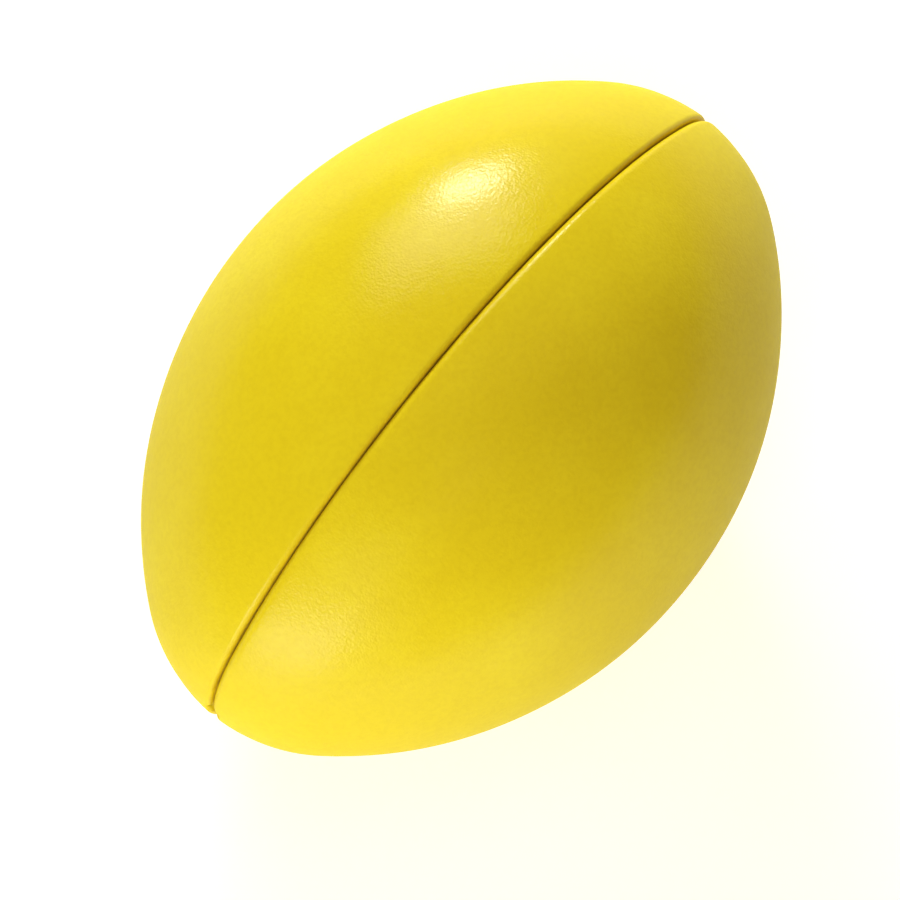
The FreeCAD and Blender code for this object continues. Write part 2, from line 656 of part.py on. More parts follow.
def co2_cylinder():
    """Steel gas cylinder: domed end, wall, shoulder and threaded neck, hollow and open at the mouth."""
    inside = "(cylinder_radius - cylinder_wall)"
    dome = "cylinder_bottom + cylinder_radius"
    corners = [("cylinder_bottom", "0"), (dome, "cylinder_radius"),
               ("shoulder_start", "cylinder_radius"), ("neck_start", "neck_radius"),
               ("neck_tip", "neck_radius"), ("neck_tip", "neck_bore"), ("neck_start", "neck_bore"),
               ("shoulder_start", inside), (dome, inside), ("cylinder_bottom + cylinder_wall", "0")]
    arcs = {0: ("cylinder_radius", -1), 2: ("shoulder_round", -1),
            6: ("shoulder_round - cylinder_wall", 1), 8: (inside, 1)}
    return turned("co2_cylinder", corners, arcs)


def cylinder_seal():
    """Thin disc closing the cylinder's mouth, which the pin pierces."""
    return turned("cylinder_seal", [("neck_tip - seal_thickness", "0"), ("neck_tip", "0"),
                                    ("neck_tip", "neck_bore"), ("neck_tip - seal_thickness", "neck_bore")])


def cylinder_gasket():
    """Flat washer at the bottom of the cylinder port."""
    face = "neck_tip + gasket_gap"
    return turned("cylinder_gasket", [(face, "port_gasket_bore"), ("port_end", "port_gasket_bore"),
                                      ("port_end", "port_radius"), (face, "port_radius")])


def pin_carrier():
    """Piston that carries the piercing pin, with a groove for its O-ring."""
    floor = "oring_mean - oring_wire"
    edge = "groove_half_width"
    corners = [("carrier_start", "pin_radius"), ("carrier_start", "carrier_radius"),
               (f"carrier_groove - {edge}", "carrier_radius"), (f"carrier_groove - {edge}", floor),
               (f"carrier_groove + {edge}", floor), (f"carrier_groove + {edge}", "carrier_radius"),
               ("carrier_end", "carrier_radius"), ("carrier_end", "0"), ("carrier_end - pin_seat", "0"),
               ("carrier_end - pin_seat", "pin_radius")]
    return turned("pin_carrier", corners)


def piercing_pin():
    """Hardened pin with a conical point."""
    return turned("piercing_pin", [("pin_tip", "0"), ("carrier_end - pin_seat", "0"),
                                   ("carrier_end - pin_seat", "pin_radius"),
                                   ("pin_tip + pin_cone", "pin_radius")])


def carrier_oring():
    ring = primitive("Torus", "carrier_oring", {"Radius1": "oring_mean", "Radius2": "oring_wire"},
                     x="carrier_groove", z="gallery_z", turned_by=UP_TO_FRONT)
    ring.Label = "carrier_oring"
    return ring


def plunger():
    """Spring plunger: nose, rod through the bobbin, flange and spring spigot."""
    back = "plunger_flange + flange_thickness"
    corners = [("plunger_nose", "0"), ("plunger_nose", "carrier_radius - plunger_chamfer"),
               ("plunger_nose + plunger_chamfer", "carrier_radius"), ("plunger_flange", "carrier_radius"),
               ("plunger_flange", "flange_radius"), (back, "flange_radius"), (back, "spigot_radius"),
               (f"{back} + spigot_length", "spigot_radius"), (f"{back} + spigot_length", "0")]
    return turned("plunger", corners)


def water_bobbin():
    """Pressed soluble ring that holds the plunger back until water reaches it."""
    face = "seat_start + bobbin_gap"
    return turned("water_bobbin", [(face, "bobbin_bore"), ("bobbin_end", "bobbin_bore"),
                                   ("bobbin_end", "bobbin_radius"), (face, "bobbin_radius")])


def coil(label, start, length, radius, wire, turns, y, z):
    """A round-wire compression spring along X: a wire swept along a curve through points of a helix."""
    coils, per_turn = size(turns), size("helix_points")
    pitch = length / coils
    angles = [math.tau * i / per_turn for i in range(round(coils * per_turn) + 1)]
    helix = Part.BSplineCurve()
    helix.interpolate([V(radius * math.cos(a), radius * math.sin(a), pitch * a / math.tau) for a in angles])
    profile = Part.Wire([Part.makeCircle(wire, V(radius, 0, 0), V(0, 1, pitch / math.tau / radius))])
    spring = DOC.addObject("Part::Feature", label)
    spring.Shape = Part.Wire(helix.toShape()).makePipeShell([profile], True, True)
    spring.Label = label
    spring.Placement = FreeCAD.Placement(V(start, y, z), UP_TO_FRONT)
    return spring


def plunger_spring():
    wire = size("spring_wire")
    start = size("plunger_flange") + size("flange_thickness") + wire + size("spring_gap")
    end = size("cap_end") - size("cap_floor") - wire - size("spring_gap")
    return coil("plunger_spring", start, end - start, size("spring_radius"), wire, "spring_turns",
                0, size("gallery_z"))


def bobbin_cap():
    """Screw cap over the nose, with grip flutes and windows that let the water in."""
    body = new_body("bobbin_cap")
    turn(body, "cap_section", [
        ("cap_start", "cap_bore"), ("nose_end + cap_step", "cap_bore"),
        ("nose_end + cap_step", "cap_room"),
        ("cap_end - cap_floor", "cap_room"), ("cap_end - cap_floor", "0"), ("cap_end", "0"),
        ("cap_end", "cap_radius - cap_corner"), ("cap_end - cap_corner", "cap_radius"),
        ("cap_start", "cap_radius")], {6: ("cap_corner", 1)})
    flute = new_sketch(body, "grip_flute", "YZ_Plane", "cap_start - past")
    circle(flute, "0", "cap_radius + flute_offset", "flute_radius")
    flutes = feature(body, "Pocket", flute, Length="flute_length", Reversed=True)
    window = new_sketch(body, "water_window", "XY_Plane")
    rectangle(window, "nose_end + window_start", "nose_end + window_start + window_length",
              "-window_half_width", "window_half_width")
    windows = feature(body, "Pocket", window, Length="cap_radius + 2 * past", Reversed=True)
    axis = next(f for f in body.Origin.OriginFeatures if f.Role == "X_Axis")
    for pocket, count in ((flutes, "flute_count"), (windows, "window_count")):
        ring = body.newObject("PartDesign::PolarPattern", f"{pocket.Name}_ring")
        ring.Originals = [pocket]
        ring.Axis = (axis, [""])
        ring.Angle = 360
        ring.Occurrences = int(size(count))
        body.Tip = ring
        DOC.recompute()
    bind(body, "Placement.Base.z", "gallery_z")
    return body


def lever():
    """Bell crank: round toe between carrier and plunger, pivot boss, long arm with a lanyard eye."""
    body = new_body("lever")
    toe = new_sketch(body, "lever_toe_circle", "XZ_Plane")
    circle(toe, "pivot_x", "0", "lever_toe")
    feature(body, "Pad", toe, Length="2 * lever_half_width", Midplane=True)
    web = new_sketch(body, "lever_web", "XZ_Plane")
    rectangle(web, "pivot_x - web_rear", "pivot_x + web_front", "-pivot_drop", "0")
    feature(body, "Pad", web, Length="2 * lever_half_width", Midplane=True)
    boss = new_sketch(body, "lever_boss", "XZ_Plane")
    circle(boss, "pivot_x", "-pivot_drop", "lever_boss")
    feature(body, "Pad", boss, Length="2 * lever_half_width", Midplane=True)
    arm = new_sketch(body, "lever_arm", "XZ_Plane")
    under = "-block_half_height - arm_depth"
    tip = "block_start - past"
    loop(arm, [("pivot_x + arm_root", "-pivot_drop - arm_root_drop"), ("pivot_x + arm_root / 2", under),
               ("block_start + 2 * past", under), (tip, "-block_half_height - arm_tip_depth"),
               (tip, "-block_half_height - arm_gap"),
               ("pivot_x - arm_shoulder", "-block_half_height - arm_shoulder_gap"),
               ("pivot_x - arm_throat", "-pivot_drop")])
    feature(body, "Pad", arm, Length="2 * lever_half_width", Midplane=True)
    paddle = new_sketch(body, "lever_paddle", "XZ_Plane")
    rectangle(paddle, tip, f"{tip} + paddle_length", under, "-block_half_height - arm_gap")
    feature(body, "Pad", paddle, Length="paddle_width", Midplane=True)
    pivot = new_sketch(body, "lever_pivot_hole", "XZ_Plane")
    circle(pivot, "pivot_x", "-pivot_drop", "pivot_radius + pivot_clearance")
    feature(body, "Pocket", pivot, Length="2 * lever_half_width + 2 * past", Midplane=True)
    eye = new_sketch(body, "lanyard_eye", "XY_Plane")
    circle(eye, f"{tip} + lanyard_eye_in", "0", "lanyard_eye")
    feature(body, "Pocket", eye, Length="4 * block_half_height", Midplane=True)
    bind(body, "Placement.Base.z", "gallery_z")
    return body


def lever_pin():
    pin = primitive("Cylinder", "lever_pin", {"Radius": "pivot_radius", "Height": "2 * block_half_width"},
                    x="pivot_x", y="-block_half_width", z="gallery_z - pivot_drop",
                    turned_by=UP_TO_RIGHT)
    pin.Label = "lever_pin"
    return pin


# ---------------------------------------------------------------- manifold

def upright(label, corners, arcs=None):
    """A round sub-part on the manifold's upright axis: drawn along X, then stood up."""
    body = new_body(label)
    turn(body, f"{label}_profile", corners, arcs)
    body.Placement = FreeCAD.Placement(V(0, 0, 0), FreeCAD.Rotation(V(0, 1, 0), -90))
    bind(body, "Placement.Base.x", "barrel_x")
    bind(body, "Placement.Base.y", "barrel_y")
    bind(body, "Placement.Base.z", "gallery_z")
    return body


def manifold_stem():
    """Flange welded to the bladder, with the hollow stem that the inflator slides over."""
    top = "pack_floor - gallery_z - flange_gap"
    seat = "block_half_height + gasket_thickness"
    low = "-block_half_height - gasket_thickness - nut_height + stem_grip"
    thread = "stem_radius - stem_thread"
    corners = [(low, "0"), (low, thread), (f"-({seat})", thread), (f"-({seat})", "stem_radius"),
               (seat, "stem_radius"), (seat, "flange_root"), (f"{top} - flange_edge", "flange_disc"),
               (top, "flange_disc"), (top, "stem_bore"), ("-stem_bore_start", "stem_bore"),
               ("-stem_bore_start", "0")]
    body = upright("manifold_stem", corners)
    port = new_sketch(body, "stem_port", "XY_Plane")
    circle(port, "0", "0", "gas_passage")
    feature(body, "Pocket", port, Length="3 * stem_radius", Midplane=True)
    return body


def manifold_gaskets():
    """Flat rings above and below the barrel."""
    rings = []
    for sign in ("", "-"):
        low = f"{sign}block_half_height"
        high = f"{sign}(block_half_height + gasket_thickness)"
        inner = "stem_radius + gasket_clearance"
        rings.append(upright(f"gasket_ring{len(rings)}", [(low, inner), (high, inner),
                                                         (high, "gasket_outer"), (low, "gasket_outer")]))
    return group("manifold_gaskets", rings)


def manifold_nut():
    """Closed hexagon nut that holds the inflator on the stem."""
    top = "gallery_z - block_half_height - gasket_thickness"
    prism = primitive("Prism", "nut_prism", {"Circumradius": "nut_flats", "Height": "nut_height"},
                      x="barrel_x", y="barrel_y", z=f"{top} - nut_height")
    prism.Polygon = 6
    bore = primitive("Cylinder", "nut_bore", {"Radius": "stem_radius - stem_thread",
                     "Height": "nut_height - nut_floor"},
                     x="barrel_x", y="barrel_y", z=f"{top} - nut_height + nut_floor")
    nut = cut("manifold_nut", prism, bore)
    nut.Label = "manifold_nut"
    return nut


# ---------------------------------------------------------------- oral inflation

def oral_elbow():
    """Welded flange and elbow that bring the oral tube out of the bladder's underside."""
    bend = "oral_bend"
    outside = "oral_radius + elbow_wall"
    run = primitive("Torus", "elbow_bend", {"Radius1": bend, "Radius2": outside, "Angle3": "90"},
                    x="oral_start", y="oral_y", z=f"oral_z + {bend}",
                    turned_by=FreeCAD.Rotation(V(0, 0, -1), V(-1, 0, 0), V(0, 1, 0), "XYZ"))
    riser = primitive("Cylinder", "elbow_riser", {"Radius": outside,
                      "Height": f"pack_floor - oral_z - {bend} - flange_gap"},
                      x=f"oral_start - {bend}", y="oral_y", z=f"oral_z + {bend}")
    disc = primitive("Cylinder", "elbow_disc", {"Radius": "elbow_disc", "Height": "elbow_disc_thickness"},
                     x=f"oral_start - {bend}", y="oral_y", z="pack_floor - flange_gap - elbow_disc_thickness")
    return fuse_labelled("oral_elbow", [run, riser, disc])


def oral_tube():
    """Flexible mouth tube, held straight along the gas cylinder."""
    return turned("oral_tube", [("oral_start", "oral_bore"), ("oral_end", "oral_bore"),
                                ("oral_end", "oral_radius"), ("oral_start", "oral_radius")],
                  y="oral_y", z="oral_z")


def oral_valve_body():
    """Valve housing: barbed spigot in the tube, seat and mouthpiece."""
    spigot, shoulder = "oral_end - valve_spigot", "oral_end + valve_gap"
    room, land = "valve_seat - spring_room", "valve_seat + seat_land"
    corners = [(spigot, "spigot_bore"), (room, "spigot_bore"), (room, "valve_bore"),
               ("valve_seat - seat_cone", "valve_bore"), ("valve_seat", "seat_bore"), (land, "seat_bore"),
               (land, "valve_bore"), ("valve_end", "valve_bore"), ("valve_end", "valve_radius - valve_edge"),
               ("valve_end - valve_edge", "valve_radius"), (shoulder, "valve_radius"),
               (shoulder, "oral_bore"), (spigot, "oral_bore")]
    return turned("oral_valve_body", corners, y="oral_y", z="oral_z")


def valve_poppet():
    """Disc that closes the seat from inside, with a stem that the lips or a finger push."""
    front = "valve_seat - seat_cone - poppet_lift"
    back = f"{front} - poppet_disc"
    tail = f"{back} - poppet_tail"
    rim = "valve_bore - poppet_gap"
    button = "valve_end - poppet_button_height"
    corners = [(tail, "0"), (tail, "poppet_stem"), (back, "poppet_stem"), (back, rim), (front, rim),
               (front, "poppet_stem"), (button, "poppet_stem"), (button, "poppet_button"),
               ("valve_end", "poppet_button"), ("valve_end", "0")]
    return turned("valve_poppet", corners, y="oral_y", z="oral_z")


def valve_spring():
    wire = size("valve_spring_wire")
    disc_back = size("valve_seat") - size("seat_cone") - size("poppet_lift") - size("poppet_disc")
    start = size("valve_seat") - size("spring_room") + wire + size("valve_spring_gap")
    end = disc_back - wire - size("valve_spring_gap")
    return coil("valve_spring", start, end - start, size("valve_spring_mean"), wire,
                "valve_spring_turns", size("oral_y"), size("oral_z"))


def dust_cap():
    """Push-on cap over the mouthpiece."""
    inner = "valve_radius + valve_gap"
    outer = f"{inner} + dust_cap_wall"
    skirt = "valve_end - dust_cap_skirt"
    ceiling = "valve_end + dust_cap_room"
    end = "valve_end + dust_cap_end"
    corners = [(skirt, inner), (ceiling, inner), (ceiling, "0"), (end, "0"), (end, f"{outer} - past"),
               (f"{end} - past", outer), (skirt, outer)]
    return turned("dust_cap", corners, y="oral_y", z="oral_z")


# ---------------------------------------------------------------- the whole part

def build():
    left_shell = place_half(half_shell("left_shell"), right=False)
    right_shell = place_half(half_shell("right_shell"), right=True)
    return [
        left_shell, snap_pegs("left_snap_pegs", False), snap_sockets("left_snap_sockets", False),
        tether_eye("left_tether_eye", False),
        right_shell, snap_pegs("right_snap_pegs", True), snap_sockets("right_snap_sockets", True),
        tether_eye("right_tether_eye", True),
        ring_bladder(), reflective_tape(), retaining_bands(),
        manifold_stem(), manifold_gaskets(), manifold_nut(),
        inflator_body(), co2_cylinder(), cylinder_seal(), cylinder_gasket(),
        pin_carrier(), piercing_pin(), carrier_oring(),
        plunger(), water_bobbin(), plunger_spring(), bobbin_cap(), lever(), lever_pin(),
        oral_elbow(), oral_tube(), oral_valve_body(), valve_poppet(), valve_spring(), dust_cap(),
    ]


def check(sub_parts):
    """Stop on any failed object or any sub-part without a valid shape."""
    for thing in DOC.Objects:
        if "Invalid" in thing.State or "Error" in thing.State:
            raise RuntimeError(f"{thing.Label}: {thing.State}")
    for part in sub_parts:
        if part.Shape.isNull() or not part.Shape.isValid() or not part.Shape.Solids:
            raise RuntimeError(f"{part.Label}: no valid shape")


def export(sub_parts):
    os.makedirs("parts", exist_ok=True)
    for part in sub_parts:
        part.Shape.exportStep(f"parts/{part.Label}.step")
        box = part.Shape.BoundBox
        print(f"{part.Label:20s} solids {len(part.Shape.Solids)} volume {part.Shape.Volume:10.1f} "
              f"x {box.XMin:7.1f} {box.XMax:7.1f}  y {box.YMin:7.1f} {box.YMax:7.1f} "
              f" z {box.ZMin:7.1f} {box.ZMax:7.1f}")


SUB_PARTS = build()
DOC.recompute()
check(SUB_PARTS)
export(SUB_PARTS)
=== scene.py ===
"""Looks of the throwable self-inflating life ring: two foam half shells round a folded ring.

The frame is X from tip to tip, y = 0 on the parting plane and +Z up. Shapes are worked out in
millimetres, and new_piece() turns them into metres.
"""

import json
import math

import bpy
import numpy as np
from mathutils import Matrix, Vector
from mathutils.bvhtree import BVHTree


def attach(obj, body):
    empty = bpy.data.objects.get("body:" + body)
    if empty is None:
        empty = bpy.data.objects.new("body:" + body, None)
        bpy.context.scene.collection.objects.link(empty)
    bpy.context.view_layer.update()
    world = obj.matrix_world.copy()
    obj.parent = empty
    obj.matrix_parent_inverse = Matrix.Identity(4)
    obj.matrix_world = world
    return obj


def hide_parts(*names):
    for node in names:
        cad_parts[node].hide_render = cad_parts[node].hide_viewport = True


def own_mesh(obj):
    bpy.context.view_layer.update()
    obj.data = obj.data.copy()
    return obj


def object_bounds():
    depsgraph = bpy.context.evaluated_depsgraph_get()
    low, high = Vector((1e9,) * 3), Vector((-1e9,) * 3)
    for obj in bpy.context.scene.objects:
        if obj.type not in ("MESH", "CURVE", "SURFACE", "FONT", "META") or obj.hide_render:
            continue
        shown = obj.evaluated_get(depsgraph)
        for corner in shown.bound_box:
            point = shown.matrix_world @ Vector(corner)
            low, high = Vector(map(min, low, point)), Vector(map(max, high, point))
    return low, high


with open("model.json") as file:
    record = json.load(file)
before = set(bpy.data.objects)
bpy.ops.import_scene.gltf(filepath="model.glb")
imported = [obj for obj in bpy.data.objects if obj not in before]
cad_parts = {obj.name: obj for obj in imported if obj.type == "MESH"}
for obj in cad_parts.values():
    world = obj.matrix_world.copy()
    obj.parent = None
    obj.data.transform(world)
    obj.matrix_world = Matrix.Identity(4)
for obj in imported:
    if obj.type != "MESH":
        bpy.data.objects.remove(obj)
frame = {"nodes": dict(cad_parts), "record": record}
cad_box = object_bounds()

MM = 0.001

# ---------------------------------------------------------------- sizes, in mm, as in the CAD model

SHELL = {"flank": 138.0, "drop": 51.4, "tip": 55.6, "tip_centre": 64.4, "half_width": 86.6}
PACK = {"flank": 131.2, "drop": 71.2, "tip": 40.0, "tip_centre": 57.0, "half_width": 60.0}
WALL = 10.0
RIM_GAP = 0.3                   # between the two rims
RIM_ROUNDS = (3.0, 1.7)         # outer corner of the left and the right rim: the left lip is wider
INNER_ROUND = 0.9               # inner corner of a rim
TONGUE = (5.0, 7.6, 4.0)        # how deep its two faces lie under the skin, and its height
GROOVE = (4.65, 7.95, -4.6)
TONGUE_END = 84.0               # tongue and groove stop at this distance from the middle
INLET_START = 90.0              # water inlets notch the rim beyond this distance from the middle
INLET_HALF_WIDTH = 4.5
INLET_DEPTH = 1.6
INLET_FADE = 9.0                # depth under the rim at which a notch has faded out
SNAP_X = 60.0
SNAP_Z = 56.5
PEG_RADIUS = 2.6
BOSS_RADIUS = 8.0
BOSS_LENGTH = 24.0
SOCKET_RADIUS = 5.25
SOCKET_LENGTH = 12.2
PACK_FLOOR = -2.0               # flat underside of the folded bladder
GALLERY_Z = -22.0               # long axis of the gas cylinder and inflator
CYLINDER_RADIUS = 12.7


# ---------------------------------------------------------------- mesh helpers

def new_piece(name, points, faces, body, slot=None, attributes=None, sharp=38):
    """A mesh piece from points in mm. attributes are extra numbers per point that its material reads."""
    mesh = bpy.data.meshes.new(name)
    mesh.from_pydata((np.asarray(points, float) * MM).tolist(), [], faces)
    mesh.validate()
    for label, values in (attributes or {}).items():
        values = np.asarray(values, np.float32)
        kind = "FLOAT_VECTOR" if values.ndim == 2 else "FLOAT"
        field = "vector" if values.ndim == 2 else "value"
        mesh.attributes.new(label, kind, "POINT").data.foreach_set(field, values.ravel())
    mesh.polygons.foreach_set("use_smooth", [True] * len(mesh.polygons))
    if sharp:
        mesh.set_sharp_from_angle(angle=math.radians(sharp))
    piece = bpy.data.objects.new(name, mesh)
    bpy.context.scene.collection.objects.link(piece)
    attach(piece, body)
    return piece


def ring_faces(rows, count, first=0):
    """Quads between successive closed rings of the same count of points."""
    faces = []
    for row in range(rows - 1):
        a = first + row * count
        b = a + count
        for i in range(count):
            j = (i + 1) % count
            faces.append((a + i, a + j, b + j, b + i))
    return faces


def fan_faces(start, count, tip, turned):
    """Triangles from one ring to a single point."""
    faces = []
    for i in range(count):
        j = (i + 1) % count
        faces.append((start + j, start + i, tip) if turned else (start + i, start + j, tip))
    return faces


def waves(points, seed, lengths, count=7):
    """Smooth unevenness from -1 to 1: a sum of waves in seeded directions."""
    rng = np.random.default_rng(seed)
    total = np.zeros(len(points))
    for _ in range(count):
        direction = rng.normal(size=3)
        direction /= np.linalg.norm(direction)
        length = rng.uniform(*lengths)
        total += np.sin(points @ direction * (2 * math.pi / length) + rng.uniform(0, 2 * math.pi))
    return total / count * 1.6


def step(low, high, value):
    """0 below low, 1 above high and smooth between."""
    t = np.clip((value - low) / (high - low), 0, 1)
    return t * t * (3 - 2 * t)


def inset(solid, x, r):
    """How deep a point at radius r from the long axis lies under the two-arc profile's skin."""
    x = np.abs(x)
    in_tip = r * solid["tip_centre"] < solid["drop"] * (x - solid["tip_centre"])
    tip = solid["tip"] - np.hypot(x - solid["tip_centre"], r)
    return np.where(in_tip, tip, solid["flank"] - np.hypot(x, r + solid["drop"]))


def profile_radius(solid, x):
    """Radius of the two-arc profile at x."""
    x = np.abs(np.asarray(x, float))
    tangent = solid["tip_centre"] * solid["flank"] / (solid["flank"] - solid["tip"])
    flank = np.sqrt(np.maximum(solid["flank"] ** 2 - x ** 2, 0)) - solid["drop"]
    tip = np.sqrt(np.maximum(solid["tip"] ** 2 - (x - solid["tip_centre"]) ** 2, 0))
    return np.where(x > tangent, tip, flank)


def spoke_reach(depth, angle, under):
    """How far along each spoke from the Y axis the skin lies, at a depth from the parting plane."""
    low = np.zeros(len(angle))
    high = np.full(len(angle), 130.0)
    for _ in range(34):
        reach = (low + high) / 2
        r = np.hypot(depth, reach * np.sin(angle))
        inside = inset(SHELL, reach * np.cos(angle), r) > under
        low = np.where(inside, reach, low)
        high = np.where(inside, high, reach)
    return low


# ---------------------------------------------------------------- shell halves

SPOKES = 640                    # points round each row of a shell half
SKIN_STEP = 0.75                # degrees between the rows of the skin
WALL_STEP = 1.5                 # degrees between the rows inside
UNEVENNESS = 0.22               # mm, of the moulded skin
FLAT_ROWS = (3.3, 4.2)          # rows of the rim outside tongue and groove, under the skin
LAST_FLAT_ROW = 8.8
# shares of the tongue's thickness and height at each corner of its section
TONGUE_SECTION = ((0.0, 0.0), (0.03, 0.93), (0.22, 1.0), (0.78, 1.0), (0.97, 0.93), (1.0, 0.0))


def rim_rows():
    """(depth under the skin, height over the rim) of each row of the rim, from outside to inside."""
    angle = 2 * math.pi * np.arange(SPOKES) / SPOKES
    top = np.sin(angle) > 0
    middle = np.full(SPOKES, (TONGUE[0] + TONGUE[1]) / 2)
    along = np.abs(spoke_reach(np.zeros(SPOKES), angle, middle) * np.cos(angle))
    present = 1 - step(TONGUE_END - 1.2, TONGUE_END + 0.2, along)
    rows = []
    for across, up in TONGUE_SECTION:
        tongue = TONGUE[0] + across * (TONGUE[1] - TONGUE[0])
        groove = GROOVE[0] + across * (GROOVE[1] - GROOVE[0])
        height = np.where(top, TONGUE[2], GROOVE[2]) * up * present
        rows.append((np.where(top, tongue, groove), height))
    flat = np.zeros(SPOKES)
    outer = [(np.full(SPOKES, under), flat) for under in FLAT_ROWS]
    inner = [(np.full(SPOKES, LAST_FLAT_ROW), flat)]
    return outer + rows + inner


def quarter_round(radius, angles):
    """(depth under a corner's first face, depth under its second) along its rounding."""
    return [(radius * (1 - math.sin(math.radians(a))), radius * (1 - math.cos(math.radians(a))))
            for a in angles]


def boss(x, z, hole):
    """A boss's axis, and the (radius, depth from the rim) pairs of its section as a closed island."""
    end = [(0.0, BOSS_LENGTH), (BOSS_RADIUS - 1.6, BOSS_LENGTH),
           (BOSS_RADIUS - 0.5, BOSS_LENGTH - 0.5), (BOSS_RADIUS, BOSS_LENGTH - 1.6)]
    mouth = [(BOSS_RADIUS, 0.8), (BOSS_RADIUS - 0.2, 0.3), (BOSS_RADIUS - 0.7, 0.12)]
    if hole:
        inside = [(SOCKET_RADIUS + 0.3, 0.12), (SOCKET_RADIUS, 0.4), (SOCKET_RADIUS, SOCKET_LENGTH),
                  (0.0, SOCKET_LENGTH)]
    else:
        inside = [(PEG_RADIUS, 0.12), (0.0, 0.12)]
    return (x, z), end + mouth + inside


def add_island(points, faces, place, rings, count=64):
    """A lathed island round an axis along Y, its first and last pairs on the axis."""
    start = len(points)
    turn = 2 * math.pi * np.arange(count) / count
    for radius, depth in rings[1:-1]:
        for a in turn:
            points.append((place[0] + radius * math.cos(a), -RIM_GAP / 2 - depth,
                           place[1] + radius * math.sin(a)))
    rows = len(rings) - 2
    faces += [f[::-1] for f in ring_faces(rows, count, start)]
    for (_, depth), ring_start, turned in ((rings[0], start, False),
                                           (rings[-1], start + (rows - 1) * count, True)):
        points.append((place[0], -RIM_GAP / 2 - depth, place[1]))
        faces += fan_faces(ring_start, count, len(points) - 1, turned)


def shell_half(name, node, body, right):
    """One foam half: a bowl with a rounded rim, tongue and groove, water inlets and snap bosses."""
    rim_round = RIM_ROUNDS[right]
    angle = 2 * math.pi * np.arange(SPOKES) / SPOKES
    full = np.ones(SPOKES)
    rows = []                   # (depth under the skin, depth under the rim, 1 outside or 0 inside)
    last = math.degrees(math.asin(rim_round / SHELL["half_width"]))
    for a in np.radians(np.arange(89.4, last + 0.1, -SKIN_STEP)):
        rows.append((full * 0, full * SHELL["half_width"] * math.sin(a), 1.0))
    for under, depth in quarter_round(rim_round, np.linspace(90, 0, 10)):
        rows.append((full * under, full * depth, 1.0))
    rows += [(under, -height, 0.0) for under, height in rim_rows()]
    for under, depth in quarter_round(INNER_ROUND, (0, 30, 60, 90)):
        rows.append((full * (WALL - under), full * depth, 0.0))
    for a in np.radians(np.arange(2.0, 89.2, WALL_STEP)):
        rows.append((full * WALL, full * (SHELL["half_width"] - WALL) * math.sin(a), 0.0))
    points, skin = [], []
    for under, depth, is_outside in rows:
        reach = spoke_reach(np.maximum(depth, 0), angle, under)
        x, z = reach * np.cos(angle), reach * np.sin(angle)
        notch = INLET_DEPTH * (1 - step(INLET_HALF_WIDTH - 0.8, INLET_HALF_WIDTH + 0.5, np.abs(z)))
        sink = notch * (np.abs(x) > INLET_START) * np.clip(1 - depth / INLET_FADE, 0, 1)
        moved = np.maximum(depth, 0) + sink
        reach = np.where(sink > 0, spoke_reach(moved, angle, under), reach)
        ring = np.stack([reach * np.cos(angle), -RIM_GAP / 2 - depth - sink, reach * np.sin(angle)], 1)
        if is_outside:
            away = ring / np.linalg.norm(ring, axis=1)[:, None]
            calm = np.clip(depth / 14, 0.15, 1)[:, None]
            uneven = waves(ring, 11 + right, (45, 110))[:, None]
            ring = ring - away * calm * (UNEVENNESS + UNEVENNESS * uneven)
        points += ring.tolist()
        skin += [is_outside] * SPOKES
    faces = [f[::-1] for f in ring_faces(len(rows), SPOKES)]
    points.append((0, -RIM_GAP / 2 - SHELL["half_width"] + 0.2, 0))
    faces += fan_faces(0, SPOKES, len(points) - 1, False)
    points.append((0, -RIM_GAP / 2 - SHELL["half_width"] + WALL, 0))
    faces += fan_faces((len(rows) - 1) * SPOKES, SPOKES, len(points) - 1, True)
    for x in (-SNAP_X, SNAP_X):
        add_island(points, faces, *boss(x, SNAP_Z, hole=False))
        add_island(points, faces, *boss(x, -SNAP_Z, hole=True))
    skin += [1.0, 0.0] + [0.0] * (len(points) - len(skin) - 2)
    points = np.array(points)
    if right:
        points = points * (1, -1, -1)
    piece = new_piece(name, points, faces, body, "shell_foam", {"skin": skin}, sharp=50)
    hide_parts(node)
    return piece


left_shell = shell_half("left_shell_foam", "left_shell", "left_half", 0)
right_shell = shell_half("right_shell_foam", "right_shell", "right_half", 1)


# ---------------------------------------------------------------- folded bladder, bands and tape

LAYERS = 7
STACK = 62.0                    # from the flat underside to the crown
PITCH = STACK / LAYERS
FOLD_FILL = 0.84                # share of the room between layers that the fabric fills
PACK_HALF_LENGTH = 96.99
BANDS = (-33.0, 2.0)            # middles, along X
BAND_THICKNESS = 1.6
BAND_CLEARANCE = 0.1
# section of the webbing, 14 mm wide: places across it, and share of the thickness at each
WEBBING_ACROSS = (-7, -6.6, -5, -3, -1, 1, 3, 5, 6.6, 7, 6.6, 5, 3, 1, -1, -3, -5, -6.6)
WEBBING_ABOVE = (0.5, 1, 1, 1, 1, 1, 1, 1, 1, 0.5, 0, 0, 0, 0, 0, 0, 0, 0)
OVERLAP = (0.150, 0.245)        # ends of the sewn overlap, as shares of a band's length
TAPES = (42.0, -61.0)           # middles, along X
TAPE_LENGTH = 30.0
TAPE_HALF_ANGLE = 28.0          # degrees round the long axis
TAPE_FACES = (0.72, 0.16)       # heights over the fabric of the film's upper and under face
TAPE_GRID = (33, 49)            # points along and across a patch


def resample(path, spacing):
    """A polyline with even spacing."""
    path = np.asarray(path, float)
    along = np.concatenate([[0], np.cumsum(np.linalg.norm(np.diff(path, axis=0), axis=1))])
    count = max(2, int(round(along[-1] / spacing)) + 1)
    at = np.linspace(0, along[-1], count)
    return np.stack([np.interp(at, along, path[:, i]) for i in range(path.shape[1])], 1)


